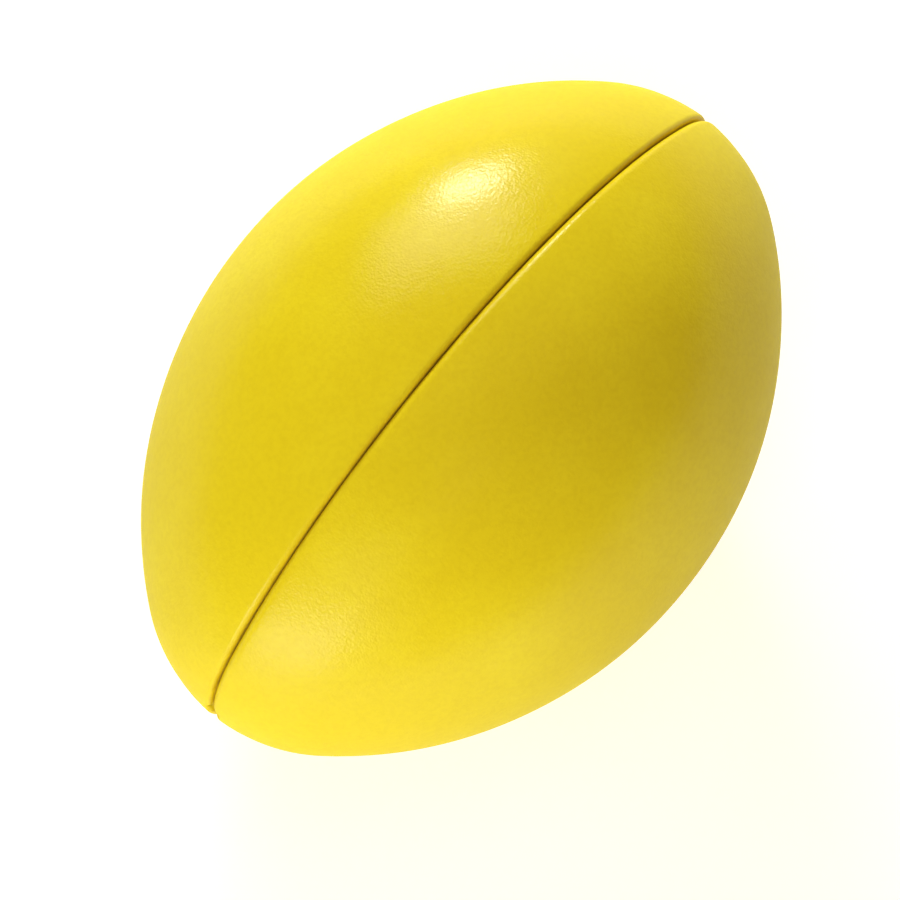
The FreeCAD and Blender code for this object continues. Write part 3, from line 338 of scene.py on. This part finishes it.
def smoothed(values, width, closed=False):
    """Moving average along the first axis, over an odd number of values."""
    kernel = np.hanning(width + 2)[1:-1]
    kernel /= kernel.sum()
    pad = width // 2
    values = np.asarray(values, float)
    flat = values.reshape(len(values), -1)
    if closed:
        padded = np.concatenate([flat[-pad:], flat, flat[:pad]])
    else:
        padded = np.concatenate([flat[:1].repeat(pad, 0), flat, flat[-1:].repeat(pad, 0)])
    out = np.stack([np.convolve(padded[:, i], kernel, "valid") for i in range(flat.shape[1])], 1)
    return out.reshape(values.shape)


def layer_height(layer, y):
    """Height over the underside of a layer's middle: flat low down, arched towards the crown."""
    crown = (layer + 0.5) * PITCH
    bend = STACK * ((STACK - PITCH / 2) / crown) ** 1.5
    return crown - y ** 2 / (2 * bend)


def fold_line():
    """Middle line of the fan-folded fabric in the section, and the thickness along it."""
    path, thick, ends = [], [], []
    for layer in range(LAYERS):
        y = np.linspace(0, PACK["half_width"], 241)
        z = layer_height(layer, y) + PITCH * 0.42
        fits = np.hypot(y + PITCH * 0.72, np.maximum(z + PACK_FLOOR, 0)) <= PACK["half_width"]
        reach = y[fits].max() - (1.5 if layer % 3 == 1 else 0)
        ends.append(reach)
    for layer in range(LAYERS):
        side = 1 if layer % 2 == 0 else -1
        y = np.linspace(-side * ends[layer], side * ends[layer], 60)
        z = layer_height(layer, y)
        other = layer + 1 if layer < LAYERS - 1 else layer - 1
        gap = np.abs(layer_height(other, y) - z)
        path += np.stack([y, z], 1).tolist()
        thick += (gap * FOLD_FILL).tolist()
        if layer < LAYERS - 1:
            a = np.array([side * ends[layer], layer_height(layer, ends[layer])])
            b = np.array([side * ends[layer + 1], layer_height(layer + 1, ends[layer + 1])])
            pull = np.array([side * PITCH * 1.15, 0])
            for t in np.linspace(0.08, 0.92, 12):
                point = ((1 - t) ** 3 * a + 3 * (1 - t) ** 2 * t * (a + pull)
                         + 3 * (1 - t) * t ** 2 * (b + pull) + t ** 3 * b)
                path.append(point.tolist())
                thick.append(float(gap[-1] * FOLD_FILL))
    joined = resample(np.column_stack([path, thick]), 2.6)
    return smoothed(joined[:, :2], 3), smoothed(joined[:, 2], 9)


def fold_outline():
    """Closed outline of the folded fabric in the section: out along one face, back along the other."""
    line, thick = fold_line()
    tangent = np.gradient(line, axis=0)
    tangent /= np.linalg.norm(tangent, axis=1)[:, None]
    normal = np.stack([-tangent[:, 1], tangent[:, 0]], 1)
    half = thick[:, None] / 2
    start = [line[0] - tangent[0] * half[0] * math.cos(a) + normal[0] * half[0] * math.sin(a)
             for a in (-0.9, 0, 0.9)]
    end = [line[-1] + tangent[-1] * half[-1] * math.cos(a) + normal[-1] * half[-1] * math.sin(a)
           for a in (0.9, 0, -0.9)]
    return np.concatenate([line + normal * half, end, (line - normal * half)[::-1], start])


def pack_scale(x):
    """Size of the folded pack's section at x, as a share of its widest: drawn in under each band."""
    scale = profile_radius(PACK, x) / PACK["half_width"]
    for band in BANDS:
        scale = scale * (1 - 0.016 * np.exp(-((x - band) / 8) ** 2))
    return scale


def folded_bladder():
    """The flattened ring, fan-folded in a dome over the inflator."""
    outline = fold_outline()
    outline[:, 1] += PACK_FLOOR
    count = len(outline)
    stations = PACK_HALF_LENGTH * np.sin(np.radians(np.linspace(-89.9, 89.9, 190)))
    points = []
    for x in stations:
        ring = np.column_stack([np.full(count, x), outline])
        away = np.hypot(outline[:, 0], outline[:, 1]) / PACK["half_width"]
        loose = 0.55 * waves(ring * (0.8, 1, 2.2), 5, (16, 60)) + 0.35 * waves(ring, 6, (7, 20))
        for band in BANDS:
            near = math.exp(-((x - band) / 12) ** 2)
            pleats = np.sin(np.arctan2(outline[:, 1] + 20, outline[:, 0]) * 34 + band) * away ** 4
            loose = loose + 0.35 * near * pleats
        section = outline * (1 + 0.012 * loose[:, None])
        section[:, 1] += 0.55 * loose
        reach = np.hypot(section[:, 0], section[:, 1])
        limit = PACK["half_width"] - 0.25
        section *= (np.minimum(reach, limit) / np.maximum(reach, 1e-6))[:, None]
        section[:, 1] = np.maximum(section[:, 1], PACK_FLOOR + 0.05)
        section *= pack_scale(x)
        points += np.column_stack([np.full(count, x), section]).tolist()
    faces = [f[::-1] for f in ring_faces(len(stations), count)]
    middle = outline.mean(0) * 0.01
    points.append((stations[0] - 0.02, *middle))
    faces += fan_faces(0, count, len(points) - 1, False)
    points.append((stations[-1] + 0.02, *middle))
    faces += fan_faces((len(stations) - 1) * count, count, len(points) - 1, True)
    piece = new_piece("ring_bladder_folded", points, faces, "ring_pack", "bladder_fabric", sharp=0)
    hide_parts("ring_bladder")
    return piece


def band_path(x, clearance):
    """Line of a band in the section at x: over the dome and round the gas cylinder."""
    radius = float(pack_scale(x)) * PACK["half_width"] + clearance
    belly = CYLINDER_RADIUS + clearance
    side = math.asin(3.6 / radius)
    over = np.linspace(-side, math.pi + side, 160)
    under = np.linspace(math.pi, 2 * math.pi, 60)
    dome = np.column_stack([radius * np.cos(over), radius * np.sin(over)])
    round_cylinder = np.column_stack([belly * np.cos(under), GALLERY_Z + belly * np.sin(under)])
    path = np.concatenate([dome, round_cylinder, dome[:1]])
    even = resample(path, 0.6)[:-1]
    return smoothed(even, 9, closed=True)


def at_shares(path, shares):
    """Points at shares of a closed path's length."""
    closed = np.concatenate([path, path[:1]])
    along = np.concatenate([[0], np.cumsum(np.linalg.norm(np.diff(closed, axis=0), axis=1))])
    at = np.asarray(shares) % 1.0 * along[-1]
    return np.column_stack([np.interp(at, along, closed[:, i]) for i in (0, 1)]), along[-1]


def ribbon(points, faces, cloth, x, shares, clearance, closed):
    """Adds a webbing strip as a closed island: a flat section with thinner edges."""
    start = len(points)
    lines = []
    for v, up in zip(WEBBING_ACROSS, WEBBING_ABOVE):
        path = band_path(x + v, clearance + up * BAND_THICKNESS)
        line, length = at_shares(path, shares)
        lines.append(np.column_stack([np.full(len(line), x + v), line]))
    grid = np.stack(lines, 1)
    rows, count = grid.shape[:2]
    uneven = waves(grid.reshape(-1, 3), 21, (14, 40)).reshape(rows, count)
    grid[:, :, 1:] += 0.12 * uneven[..., None]
    points += grid.reshape(-1, 3).tolist()
    for share in shares:
        cloth += [(share * length * MM, v * MM, 0) for v in WEBBING_ACROSS]
    faces += [f[::-1] for f in ring_faces(rows, count, start)]
    last = start + (rows - 1) * count
    if closed:
        faces += [(last + (i + 1) % count, last + i, start + i, start + (i + 1) % count)
                  for i in range(count)]
    else:
        faces.append(tuple(start + i for i in range(count)))
        faces.append(tuple(last + i for i in reversed(range(count))))


def stitch(points, faces, place, direction, up, length=3.4, radius=0.32):
    """One sewing stitch as a small closed bead lying on the cloth."""
    start = len(points)
    direction = direction / np.linalg.norm(direction)
    side = np.cross(up, direction)
    rows, count = 7, 8
    for t in np.linspace(0, 1, rows):
        bulge = radius * math.sin(math.pi * (0.06 + 0.88 * t)) ** 0.5
        centre = place + direction * (t - 0.5) * length + up * (0.25 * math.sin(math.pi * t) - 0.05)
        for a in np.linspace(0, 2 * math.pi, count, endpoint=False):
            points.append((centre + side * bulge * math.cos(a) + up * bulge * math.sin(a)).tolist())
    faces += ring_faces(rows, count, start)
    faces.append(tuple(start + i for i in reversed(range(count))))
    faces.append(tuple(start + (rows - 1) * count + i for i in range(count)))


def retaining_bands():
    """Two webbing bands, each closed by a sewn overlap, and the thread of the overlaps."""
    points, faces, cloth = [], [], []
    thread = ([], [])
    once_round = np.linspace(0, 1, 420, endpoint=False)
    overlap = np.linspace(*OVERLAP, 44)
    above_overlap = BAND_CLEARANCE + 2 * BAND_THICKNESS
    for x in BANDS:
        ribbon(points, faces, cloth, x, once_round, BAND_CLEARANCE, True)
        ribbon(points, faces, cloth, x, overlap, BAND_CLEARANCE + BAND_THICKNESS, False)
        rows = [(v, s) for v in (-5.4, 5.4) for s in np.linspace(0.158, 0.237, 8)]
        for v, s in rows:
            path = band_path(x + v, above_overlap)
            (a, b), _ = at_shares(path, (s - 0.002, s + 0.002))
            middle = np.array([x + v, *(a + b) / 2])
            direction = np.array([0, *(b - a)])
            up = np.array([0, *((a + b) / 2)])
            stitch(*thread, middle, direction, up / np.linalg.norm(up))
        for s in (0.156, 0.239):
            path = band_path(x, above_overlap)
            (a,), _ = at_shares(path, (s,))
            up = np.array([0, *a]) / np.linalg.norm(a)
            for v in (-3.6, 0.0, 3.6):
                stitch(*thread, np.array([x + v, *a]), np.array([1.0, 0, 0]), up, length=2.6)
    bands = new_piece("retaining_band_webbing", points, faces, "ring_pack", "band_webbing",
                      {"cloth": cloth}, sharp=60)
    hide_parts("retaining_bands")
    stitches = new_piece("retaining_band_stitches", *thread, "ring_pack", "band_webbing", sharp=0)
    return bands, stitches


def crown_reach(under, x, angle):
    """How far the folded bladder reaches from its long axis at x, in the direction angle from +Z."""
    away = Vector((0, math.sin(angle), math.cos(angle)))
    outside = Vector((x * MM, 0, 0)) + away * SHELL["half_width"] * MM
    place, _, _, _ = under.ray_cast(outside, -away)
    return Vector((0, place.y, place.z)).length / MM


def reflective_patches(bladder):
    """Two rectangles of reflective film that lie on the folded bladder's crown."""
    points, faces, cloth = [], [], []
    under = BVHTree.FromObject(bladder, bpy.context.evaluated_depsgraph_get())
    rows, columns = TAPE_GRID
    half_angle = math.radians(TAPE_HALF_ANGLE)
    for x0 in TAPES:
        start = len(points)
        along = x0 + np.linspace(-1, 1, rows) * TAPE_LENGTH / 2
        turn = np.linspace(-1, 1, columns) * half_angle
        reach = np.array([[crown_reach(under, x, a) for a in turn] for x in along])
        reach = np.maximum(smoothed(reach, 5), reach)
        reach = np.maximum(smoothed(reach.T, 5).T, reach)
        for lift in TAPE_FACES:
            for i in range(rows):
                u = i / (rows - 1) * 2 - 1
                for j in range(columns):
                    v = j / (columns - 1) * 2 - 1
                    corner = max(0.0, abs(u) ** 8 + abs(v) ** 8 - 1)
                    x = x0 + u * TAPE_LENGTH / 2 * (1 - 0.03 * corner)
                    angle = half_angle * v * (1 - 0.03 * corner)
                    edge = 0.2 * (max(abs(u), abs(v)) > 0.999) * (lift == TAPE_FACES[0])
                    r = reach[i, j] + lift - edge + 0.05 * math.sin(x * 0.9 + angle * 30)
                    points.append((x, r * math.sin(angle), r * math.cos(angle)))
                    cloth.append((x * MM, reach[i, j] * angle * MM, 0))
        size = rows * columns
        for i in range(rows - 1):
            for j in range(columns - 1):
                a = start + i * columns + j
                b = a + columns
                faces.append((a, b, b + 1, a + 1))
                faces.append((a + size, a + size + 1, b + size + 1, b + size))
        rim = ([start + j for j in range(columns)]
               + [start + i * columns + columns - 1 for i in range(1, rows)]
               + [start + size - 1 - j for j in range(1, columns)]
               + [start + i * columns for i in range(rows - 2, 0, -1)])
        for k, a in enumerate(rim):
            b = rim[(k + 1) % len(rim)]
            faces.append((a, b, b + size, a + size))
    piece = new_piece("reflective_tape_film", points, faces, "ring_pack", "reflective_film",
                      {"cloth": cloth}, sharp=50)
    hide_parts("reflective_tape")
    return piece


bladder = folded_bladder()
bands, stitches = retaining_bands()
tape = reflective_patches(bladder)


# ---------------------------------------------------------------- materials

MIX_SHARE, MIX_A, MIX_B = 0, 6, 7       # a colour Mix node's sockets


class Paint:
    """Builds one node material step by step. Values that are numbers are set, and sockets are linked."""

    def __init__(self, name):
        self.material = bpy.data.materials.new(name)
        self.material.use_nodes = True
        self.tree = self.material.node_tree
        self.shader = self.tree.nodes["Principled BSDF"]
        self.place = self.add("ShaderNodeTexCoord").outputs["Object"]

    def add(self, kind, inputs=None, **settings):
        node = self.tree.nodes.new(kind)
        for key, value in settings.items():
            setattr(node, key, value)
        for key, value in (inputs or {}).items():
            self.put(node.inputs[key], value)
        return node

    def put(self, socket, value):
        if isinstance(value, bpy.types.NodeSocket):
            self.tree.links.new(value, socket)
        else:
            socket.default_value = value

    def attribute(self, name, output="Fac"):
        return self.add("ShaderNodeAttribute", attribute_name=name).outputs[output]

    def stretched(self, scale, source=None):
        node = self.add("ShaderNodeMapping", {"Vector": source or self.place, "Scale": scale})
        return node.outputs["Vector"]

    def noise(self, per_metre, detail=3.0, roughness=0.55, source=None, distortion=0.0):
        node = self.add("ShaderNodeTexNoise", {
            "Vector": source or self.place, "Scale": per_metre, "Detail": detail,
            "Roughness": roughness, "Distortion": distortion})
        return node.outputs["Fac"]

    def cells(self, per_metre, feature="F1", source=None, randomness=1.0):
        node = self.add("ShaderNodeTexVoronoi", {
            "Vector": source or self.place, "Scale": per_metre, "Randomness": randomness},
            feature=feature)
        return node.outputs["Distance"]

    def math(self, operation, a, b=0.0):
        node = self.add("ShaderNodeMath", operation=operation)
        self.put(node.inputs[0], a)
        self.put(node.inputs[1], b)
        return node.outputs[0]

    def span(self, value, low, high, to_low=0.0, to_high=1.0):
        node = self.add("ShaderNodeMapRange", {
            "Value": value, "From Min": low, "From Max": high, "To Min": to_low, "To Max": to_high},
            interpolation_type="SMOOTHSTEP")
        return node.outputs["Result"]

    def mix(self, share, a, b):
        node = self.add("ShaderNodeMix", data_type="RGBA")
        self.put(node.inputs[MIX_SHARE], share)
        self.put(node.inputs[MIX_A], a if isinstance(a, bpy.types.NodeSocket) else (*a, 1.0))
        self.put(node.inputs[MIX_B], b if isinstance(b, bpy.types.NodeSocket) else (*b, 1.0))
        return node.outputs[2]

    def axis(self, index, source=None):
        node = self.add("ShaderNodeSeparateXYZ", {"Vector": source or self.place})
        return node.outputs[index]

    def ripples(self, index, spacing, source=None):
        """A sine wave along one axis, from -1 to 1."""
        return self.math("SINE", self.math("MULTIPLY", self.axis(index, source), 2 * math.pi / spacing))

    def bump(self, height, distance, strength=1.0, under=None):
        inputs = {"Height": height, "Distance": distance, "Strength": strength}
        if under:
            inputs["Normal"] = under
        return self.add("ShaderNodeBump", inputs).outputs["Normal"]

    def finish(self, colour, roughness, normal=None, **constants):
        self.put(self.shader.inputs["Base Color"],
                 colour if isinstance(colour, bpy.types.NodeSocket) else (*colour, 1.0))
        self.put(self.shader.inputs["Roughness"], roughness)
        if normal:
            self.put(self.shader.inputs["Normal"], normal)
        for key, value in constants.items():
            self.put(self.shader.inputs[key.replace("_", " ")], value)
        return self.material


def shade(colour, factor):
    """A lighter or darker colour, each channel at most 1."""
    return tuple(min(1.0, channel * factor) for channel in colour)


def foam_skin():
    """Yellow leather-grained polyurethane skin outside, paler matt foam inside."""
    p = Paint("shell_foam_skin")
    skin = p.attribute("skin")
    patches = p.span(p.noise(14, 4, 0.6), 0.38, 0.66)
    fine = p.span(p.noise(520, 3, 0.6), 0.35, 0.7)
    yellow = p.mix(patches, (0.790, 0.575, 0.010), (0.830, 0.625, 0.014))
    yellow = p.mix(p.math("MULTIPLY", fine, 0.22), yellow, (0.66, 0.44, 0.008))
    # Painted shade and grime: within about 1 mm of the parting plane the skin is darkened towards brown,
    # in patches, deep in the groove.
    side = p.math("ABSOLUTE", p.axis(1))
    seam = p.span(side, 0.0003, 0.0011, 1.0, 0.0)
    groove_dirt_and_shade = p.math("MULTIPLY", seam, p.span(p.noise(90, 4, 0.6), 0.30, 0.62, 0.10, 0.5))
    yellow = p.mix(groove_dirt_and_shade, yellow, (0.50, 0.29, 0.010))
    skinned = p.math("MULTIPLY", p.span(p.noise(22, 3), 0.30, 0.70), 0.55)
    inner = p.mix(skinned, (0.80, 0.61, 0.07), (0.84, 0.66, 0.10))
    # Painted shade: the inner foam is darker at the centres of small cells, standing in for shade inside
    # pores.
    pore_shade = p.span(p.cells(1500), 0.05, 0.30, 0.30, 0.0)
    inner = p.mix(pore_shade, inner, (0.62, 0.42, 0.03))
    colour = p.mix(skin, inner, yellow)
    pebbles = p.cells(1300, "SMOOTH_F1")
    creases = p.noise(620, 4, 0.62, distortion=0.4)
    grain = p.math("ADD", p.math("MULTIPLY", pebbles, 0.8), creases)
    soft = p.bump(p.noise(26, 3, 0.5), 0.0012, 0.30)
    normal = p.bump(grain, 0.00016, p.span(skin, 0, 1, 0.35, 0.50), soft)
    rough = p.math("ADD", p.span(skin, 0, 1, 0.66, 0.52), p.span(fine, 0, 1, -0.03, 0.05))
    return p.finish(colour, rough, normal, Specular_IOR_Level=0.0, Coat_Weight=0.17,
                    Coat_Roughness=0.22, Coat_IOR=2.2, Coat_Normal=normal)


def moulded(name, colour, roughness, grain=2600, worn=0.25):
    """Injection-moulded plastic: spark texture, faint flow marks and paler handled edges."""
    p = Paint(name)
    texture = p.noise(grain, 3, 0.6)
    flow = p.span(p.noise(60, 3, 0.5, p.stretched((1, 3, 3))), 0.35, 0.65)
    tone = p.mix(flow, shade(colour, 0.96), shade(colour, 1.03))
    edge = p.add("ShaderNodeNewGeometry").outputs["Pointiness"]
    tone = p.mix(p.span(edge, 0.52, 0.60, 0.0, worn), tone, shade(colour, 1.7))
    rough = p.span(texture, 0.3, 0.7, roughness - 0.05, roughness + 0.07)
    return p.finish(tone, rough, p.bump(texture, 0.00005, 0.5), Specular_IOR_Level=0.45)


def rubber(name, colour, roughness, grain=900):
    """Soft rubber or TPU: low grain, dusty bloom."""
    p = Paint(name)
    dust = p.span(p.noise(120, 5, 0.65), 0.45, 0.75, 0.0, 0.35)
    tone = p.mix(dust, colour, shade(tuple(c + 0.05 for c in colour), 1.5))
    texture = p.noise(grain, 3, 0.6)
    rough = p.span(dust, 0, 0.35, roughness - 0.05, roughness + 0.12)
    return p.finish(tone, rough, p.bump(texture, 0.00006, 0.5), Specular_IOR_Level=0.4)


def metal(name, colour, roughness, lines=(1, 40, 40), per_metre=220, tarnish=0.25):
    """Turned, drawn or plated metal: fine lines across or along the part, and faint tarnish."""
    p = Paint(name)
    brushed = p.noise(per_metre, 4, 0.6, p.stretched(lines))
    spots = p.span(p.noise(180, 5, 0.7), 0.5, 0.78, 0.0, tarnish)
    tone = p.mix(p.span(brushed, 0.3, 0.7, 0.0, 1.0), shade(colour, 0.88), colour)
    tone = p.mix(spots, tone, shade(colour, 0.55))
    rough = p.math("ADD", p.span(brushed, 0.3, 0.7, roughness - 0.06, roughness + 0.06),
                   p.math("MULTIPLY", spots, 0.5))
    return p.finish(tone, rough, p.bump(brushed, 0.00002, 0.35), Metallic=1.0)


def webbing():
    """Plain woven black webbing: the cloth attribute has metres along and across it."""
    p = Paint("band_webbing_weave")
    colour = (0.030, 0.030, 0.034)
    thread = 0.0018
    source = p.attribute("cloth", "Vector")
    weave = p.math("MULTIPLY", p.ripples(0, thread, source), p.ripples(1, thread, source))
    height = p.span(weave, -1, 1)
    worn = p.span(p.noise(70, 4, 0.6), 0.4, 0.7)
    # Painted shade: the weave is darker at its low points, between the threads.
    tone = p.mix(p.math("MULTIPLY", height, 0.5), shade(colour, 0.72), colour)
    tone = p.mix(p.math("MULTIPLY", worn, 0.25), tone, shade(colour, 1.25))
    return p.finish(tone, 0.62, p.bump(height, 0.00012, 0.6), Sheen_Weight=0.25,
                    Sheen_Roughness=0.5, Specular_IOR_Level=0.35)


def coated_nylon():
    """Bright orange coated nylon: fine ripstop weave under a satin coat, paler along the folds, with
    painted shade between them.
    """
    p = Paint("bladder_coated_nylon")
    thread = 0.0009
    across = p.math("ADD", p.ripples(1, thread), p.ripples(2, thread))
    weave = p.math("MULTIPLY", p.ripples(0, thread), across)
    patches = p.span(p.noise(35, 4, 0.6), 0.35, 0.68)
    orange = p.mix(patches, (0.80, 0.150, 0.010), (0.93, 0.215, 0.016))
    edge = p.add("ShaderNodeNewGeometry").outputs["Pointiness"]
    orange = p.mix(p.span(edge, 0.505, 0.56, 0.0, 0.45), orange, (0.98, 0.42, 0.12))
    # Painted shade: darker where pointiness is low, in the hollows between the folds.
    orange = p.mix(p.span(edge, 0.44, 0.495, 0.55, 0.0), orange, (0.45, 0.06, 0.004))
    wrinkles = p.noise(55, 5, 0.6, p.stretched((0.35, 1, 1)), distortion=0.6)
    normal = p.bump(wrinkles, 0.0025, 0.6)
    crinkles = p.noise(170, 4, 0.6, p.stretched((0.5, 1, 1)), distortion=1.2)
    normal = p.bump(crinkles, 0.0009, 0.5, normal)
    normal = p.bump(weave, 0.00004, 0.35, normal)
    return p.finish(orange, p.span(patches, 0, 1, 0.42, 0.52), normal, Sheen_Weight=0.1,
                    Specular_IOR_Level=0.5)


def reflective():
    """Silver reflective film: rows of sealed cells with bright glass beads between."""
    p = Paint("reflective_film_cells")
    source = p.attribute("cloth", "Vector")
    cells = p.cells(240, "DISTANCE_TO_EDGE", source, 0.0)
    ridge = p.span(cells, 0.02, 0.12, 1.0, 0.0)
    tone = p.mix(ridge, (0.62, 0.64, 0.67), (0.80, 0.81, 0.82))
    scuff = p.span(p.noise(140, 5, 0.7), 0.45, 0.7)
    tone = p.mix(p.math("MULTIPLY", scuff, 0.3), tone, (0.45, 0.46, 0.48))
    return p.finish(tone, p.span(scuff, 0, 1, 0.34, 0.46), p.bump(ridge, 0.00008, 0.4), Metallic=0.6,
                    Coat_Weight=0.4, Coat_Roughness=0.15)


def pressed_powder():
    """Compressed cellulose: white, crumbly and porous."""
    p = Paint("bobbin_pressed_cellulose")
    grains = p.cells(2400)
    pits = p.span(p.noise(900, 4, 0.7), 0.35, 0.6)
    tone = p.mix(pits, (0.70, 0.68, 0.62), (0.90, 0.89, 0.85))
    height = p.math("ADD", grains, pits)
    return p.finish(tone, 0.9, p.bump(height, 0.00012, 0.7), Specular_IOR_Level=0.2)


FINISHES = {
    "shell_foam": foam_skin(),
    "snap_nylon": moulded("snap_nylon_moulding", (0.80, 0.78, 0.70), 0.42),
    "eye_nylon": moulded("eye_nylon_moulding", (0.035, 0.035, 0.04), 0.45),
    "bladder_fabric": coated_nylon(),
    "reflective_film": reflective(),
    "band_webbing": webbing(),
    "manifold_tpu": rubber("manifold_tpu_moulding", (0.032, 0.032, 0.035), 0.50),
    "seal_rubber": rubber("seal_rubber_nitrile", (0.018, 0.018, 0.018), 0.6),
    "nut_nylon": moulded("nut_nylon_moulding", (0.050, 0.050, 0.055), 0.42),
    "inflator_acetal": moulded("inflator_acetal_moulding", (0.045, 0.047, 0.052), 0.46, 1800, 0.35),
    "pin_steel": metal("pin_steel_ground", (0.66, 0.66, 0.68), 0.25, (40, 1, 1)),
    "bobbin_cellulose": pressed_powder(),
    "spring_steel": metal("spring_steel_drawn", (0.56, 0.56, 0.58), 0.28, (1, 1, 1), 900),
    "tube_tpu": rubber("oral_tube_tpu", (0.040, 0.040, 0.045), 0.45, 600),
    "valve_acetal": moulded("valve_acetal_moulding", (0.050, 0.050, 0.055), 0.42),
    "cylinder_steel": metal("cylinder_zinc_plate", (0.60, 0.61, 0.60), 0.34, (1, 30, 30), 160, 0.4),
    "seal_steel": metal("seal_steel_disc", (0.66, 0.66, 0.68), 0.3, (1, 1, 1), 500),
    "carrier_brass": metal("carrier_brass_turned", (0.72, 0.50, 0.20), 0.26, (40, 1, 1)),
    "plunger_acetal": moulded("plunger_acetal_moulding", (0.78, 0.77, 0.72), 0.4),
    "lever_acetal": moulded("lever_acetal_moulding", (0.72, 0.035, 0.020), 0.38, 2200, 0.3),
    "cap_acetal": moulded("cap_acetal_moulding", (0.86, 0.52, 0.015), 0.40, 2000, 0.3),
    "poppet_acetal": moulded("poppet_acetal_moulding", (0.78, 0.78, 0.75), 0.38),
    "dust_cap_pe": moulded("dust_cap_polyethylene", (0.72, 0.040, 0.020), 0.48, 1500, 0.2),
}

slot_of = {row["node"]: row["material_slot"] for row in frame["record"]["subparts"]}
for name, node in frame["nodes"].items():
    node.data.materials.clear()
    node.data.materials.append(FINISHES[slot_of[name]])
for piece, slot in ((left_shell, "shell_foam"), (right_shell, "shell_foam"), (bladder, "bladder_fabric"),
                    (bands, "band_webbing"), (tape, "reflective_film")):
    piece.data.materials.append(FINISHES[slot])
stitches.data.materials.append(rubber("band_thread_polyester", (0.50, 0.50, 0.48), 0.7))


def squeezed(node_name, piece_name):
    """A copy of a CAD node's mesh, made a piece of its own on the ring pack, with the node hidden."""
    node = frame["nodes"][node_name]
    piece = bpy.data.objects.new(piece_name, node.data.copy())
    piece.data.transform(node.matrix_world)
    bpy.context.scene.collection.objects.link(piece)
    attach(piece, "ring_pack")
    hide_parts(node_name)
    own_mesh(piece)


squeezed("valve_spring", "valve_spring_coils")
squeezed("water_bobbin", "water_bobbin_ring")


# ---------------------------------------------------------------- floor, light and camera

def look_matrix(right, up, back, place):
    """World matrix of a camera or light from its own axes."""
    matrix = Matrix((right, up, back)).transposed().to_4x4()
    matrix.translation = place
    return matrix


def softbox(name, direction, distance, width, height, power, tint, gloss=False, up=(0, 0, 1)):
    """A rectangular area light that faces the object's centre. Without gloss it leaves no highlight."""
    light = bpy.data.lights.new(name, "AREA")
    light.shape = "RECTANGLE"
    light.size = width
    light.size_y = height
    light.energy = power
    light.color = tint
    lamp = bpy.data.objects.new(name, light)
    bpy.context.scene.collection.objects.link(lamp)
    lamp.visible_glossy = gloss
    back = Vector(direction).normalized()
    right = Vector(up).cross(back).normalized()
    lamp.matrix_world = look_matrix(right, back.cross(right), back, back * distance)


FLOOR_HALF_WIDTH = 60.0         # metres
FLOOR_GAP = 0.0004              # metres under the object


def pale_floor(height):
    """A wide, pale, slightly glowing floor, so that shadows stay faint."""
    far = FLOOR_HALF_WIDTH
    corners = [(-far, -far, height), (far, -far, height), (far, far, height), (-far, far, height)]
    mesh = bpy.data.meshes.new("floor")
    mesh.from_pydata(corners, [], [(0, 1, 2, 3)])
    floor = bpy.data.objects.new("floor", mesh)
    bpy.context.scene.collection.objects.link(floor)
    p = Paint("floor_white")
    grain = p.noise(9, 2, 0.5)
    tone = p.mix(grain, (0.80, 0.80, 0.80), (0.82, 0.82, 0.82))
    p.finish(tone, 0.9, Specular_IOR_Level=0.1, Emission_Color=(0.93, 0.96, 1.0, 1.0),
             Emission_Strength=0.44)
    mesh.materials.append(p.material)


pale_floor(cad_box[0].z - FLOOR_GAP)

scene = bpy.context.scene
world = bpy.data.worlds.new("studio")
world.use_nodes = True
background = world.node_tree.nodes["Background"]
background.inputs["Color"].default_value = (1.0, 1.0, 1.0, 1.0)
background.inputs["Strength"].default_value = 0.11
scene.world = world
scene.view_settings.view_transform = "Standard"

WARM = (1.0, 0.86, 0.66)
COOL = (0.92, 1.0, 0.86)
# name, direction, distance, width, height, power, tint
softbox("key", (0.646, 0.680, 0.345), 0.9, 0.20, 0.10, 3.4, COOL, gloss=True)
softbox("right_high", (0.500, 0.656, 0.560), 1.0, 0.60, 0.50, 4.1, COOL, gloss=True)
softbox("left_low", (-0.965, -0.180, 0.190), 1.0, 0.50, 0.34, 2.6, COOL, gloss=True)
softbox("left_high", (-0.783, -0.242, 0.574), 1.0, 0.40, 0.36, 2.9, COOL)
softbox("left_side", (-0.847, -0.489, 0.208), 1.0, 0.36, 0.36, 1.7, COOL)
softbox("right_side", (0.847, 0.489, 0.208), 1.0, 0.36, 0.36, 1.0, COOL)
softbox("back_side", (-0.489, 0.847, 0.208), 1.0, 0.36, 0.36, 1.1, COOL)
softbox("front_side", (0.978, -0.100, 0.208), 1.0, 0.36, 0.36, 0.4, WARM)
softbox("front_high", (-0.250, -0.433, 0.866), 1.1, 0.36, 0.36, 2.1, WARM)
softbox("far_high", (0.400, -0.220, 0.885), 1.2, 0.50, 0.50, 0.6, WARM)
softbox("top", (0.02, 0.02, 1.0), 1.9, 0.90, 0.90, 2.5, WARM, up=(0, 1, 0))

CAMERA_RIGHT = Vector((0.6388, -0.7688, -0.0290)).normalized()
CAMERA_BACK = Vector((-0.18, -0.186, 0.966)).normalized()
CAMERA_UP = CAMERA_BACK.cross(CAMERA_RIGHT).normalized()
CAMERA_DISTANCE = 1.514
CAMERA_OFFSET = (-0.0040, -0.0104)      # to the right and up, so that the object stands off centre

camera = bpy.data.objects.new("camera", bpy.data.cameras.new("camera"))
scene.collection.objects.link(camera)
scene.camera = camera
camera.data.lens = 197.0
camera.data.clip_start = 0.05
camera.matrix_world = look_matrix(
    CAMERA_RIGHT, CAMERA_UP, CAMERA_BACK,
    CAMERA_BACK * CAMERA_DISTANCE + CAMERA_RIGHT * CAMERA_OFFSET[0] + CAMERA_UP * CAMERA_OFFSET[1])
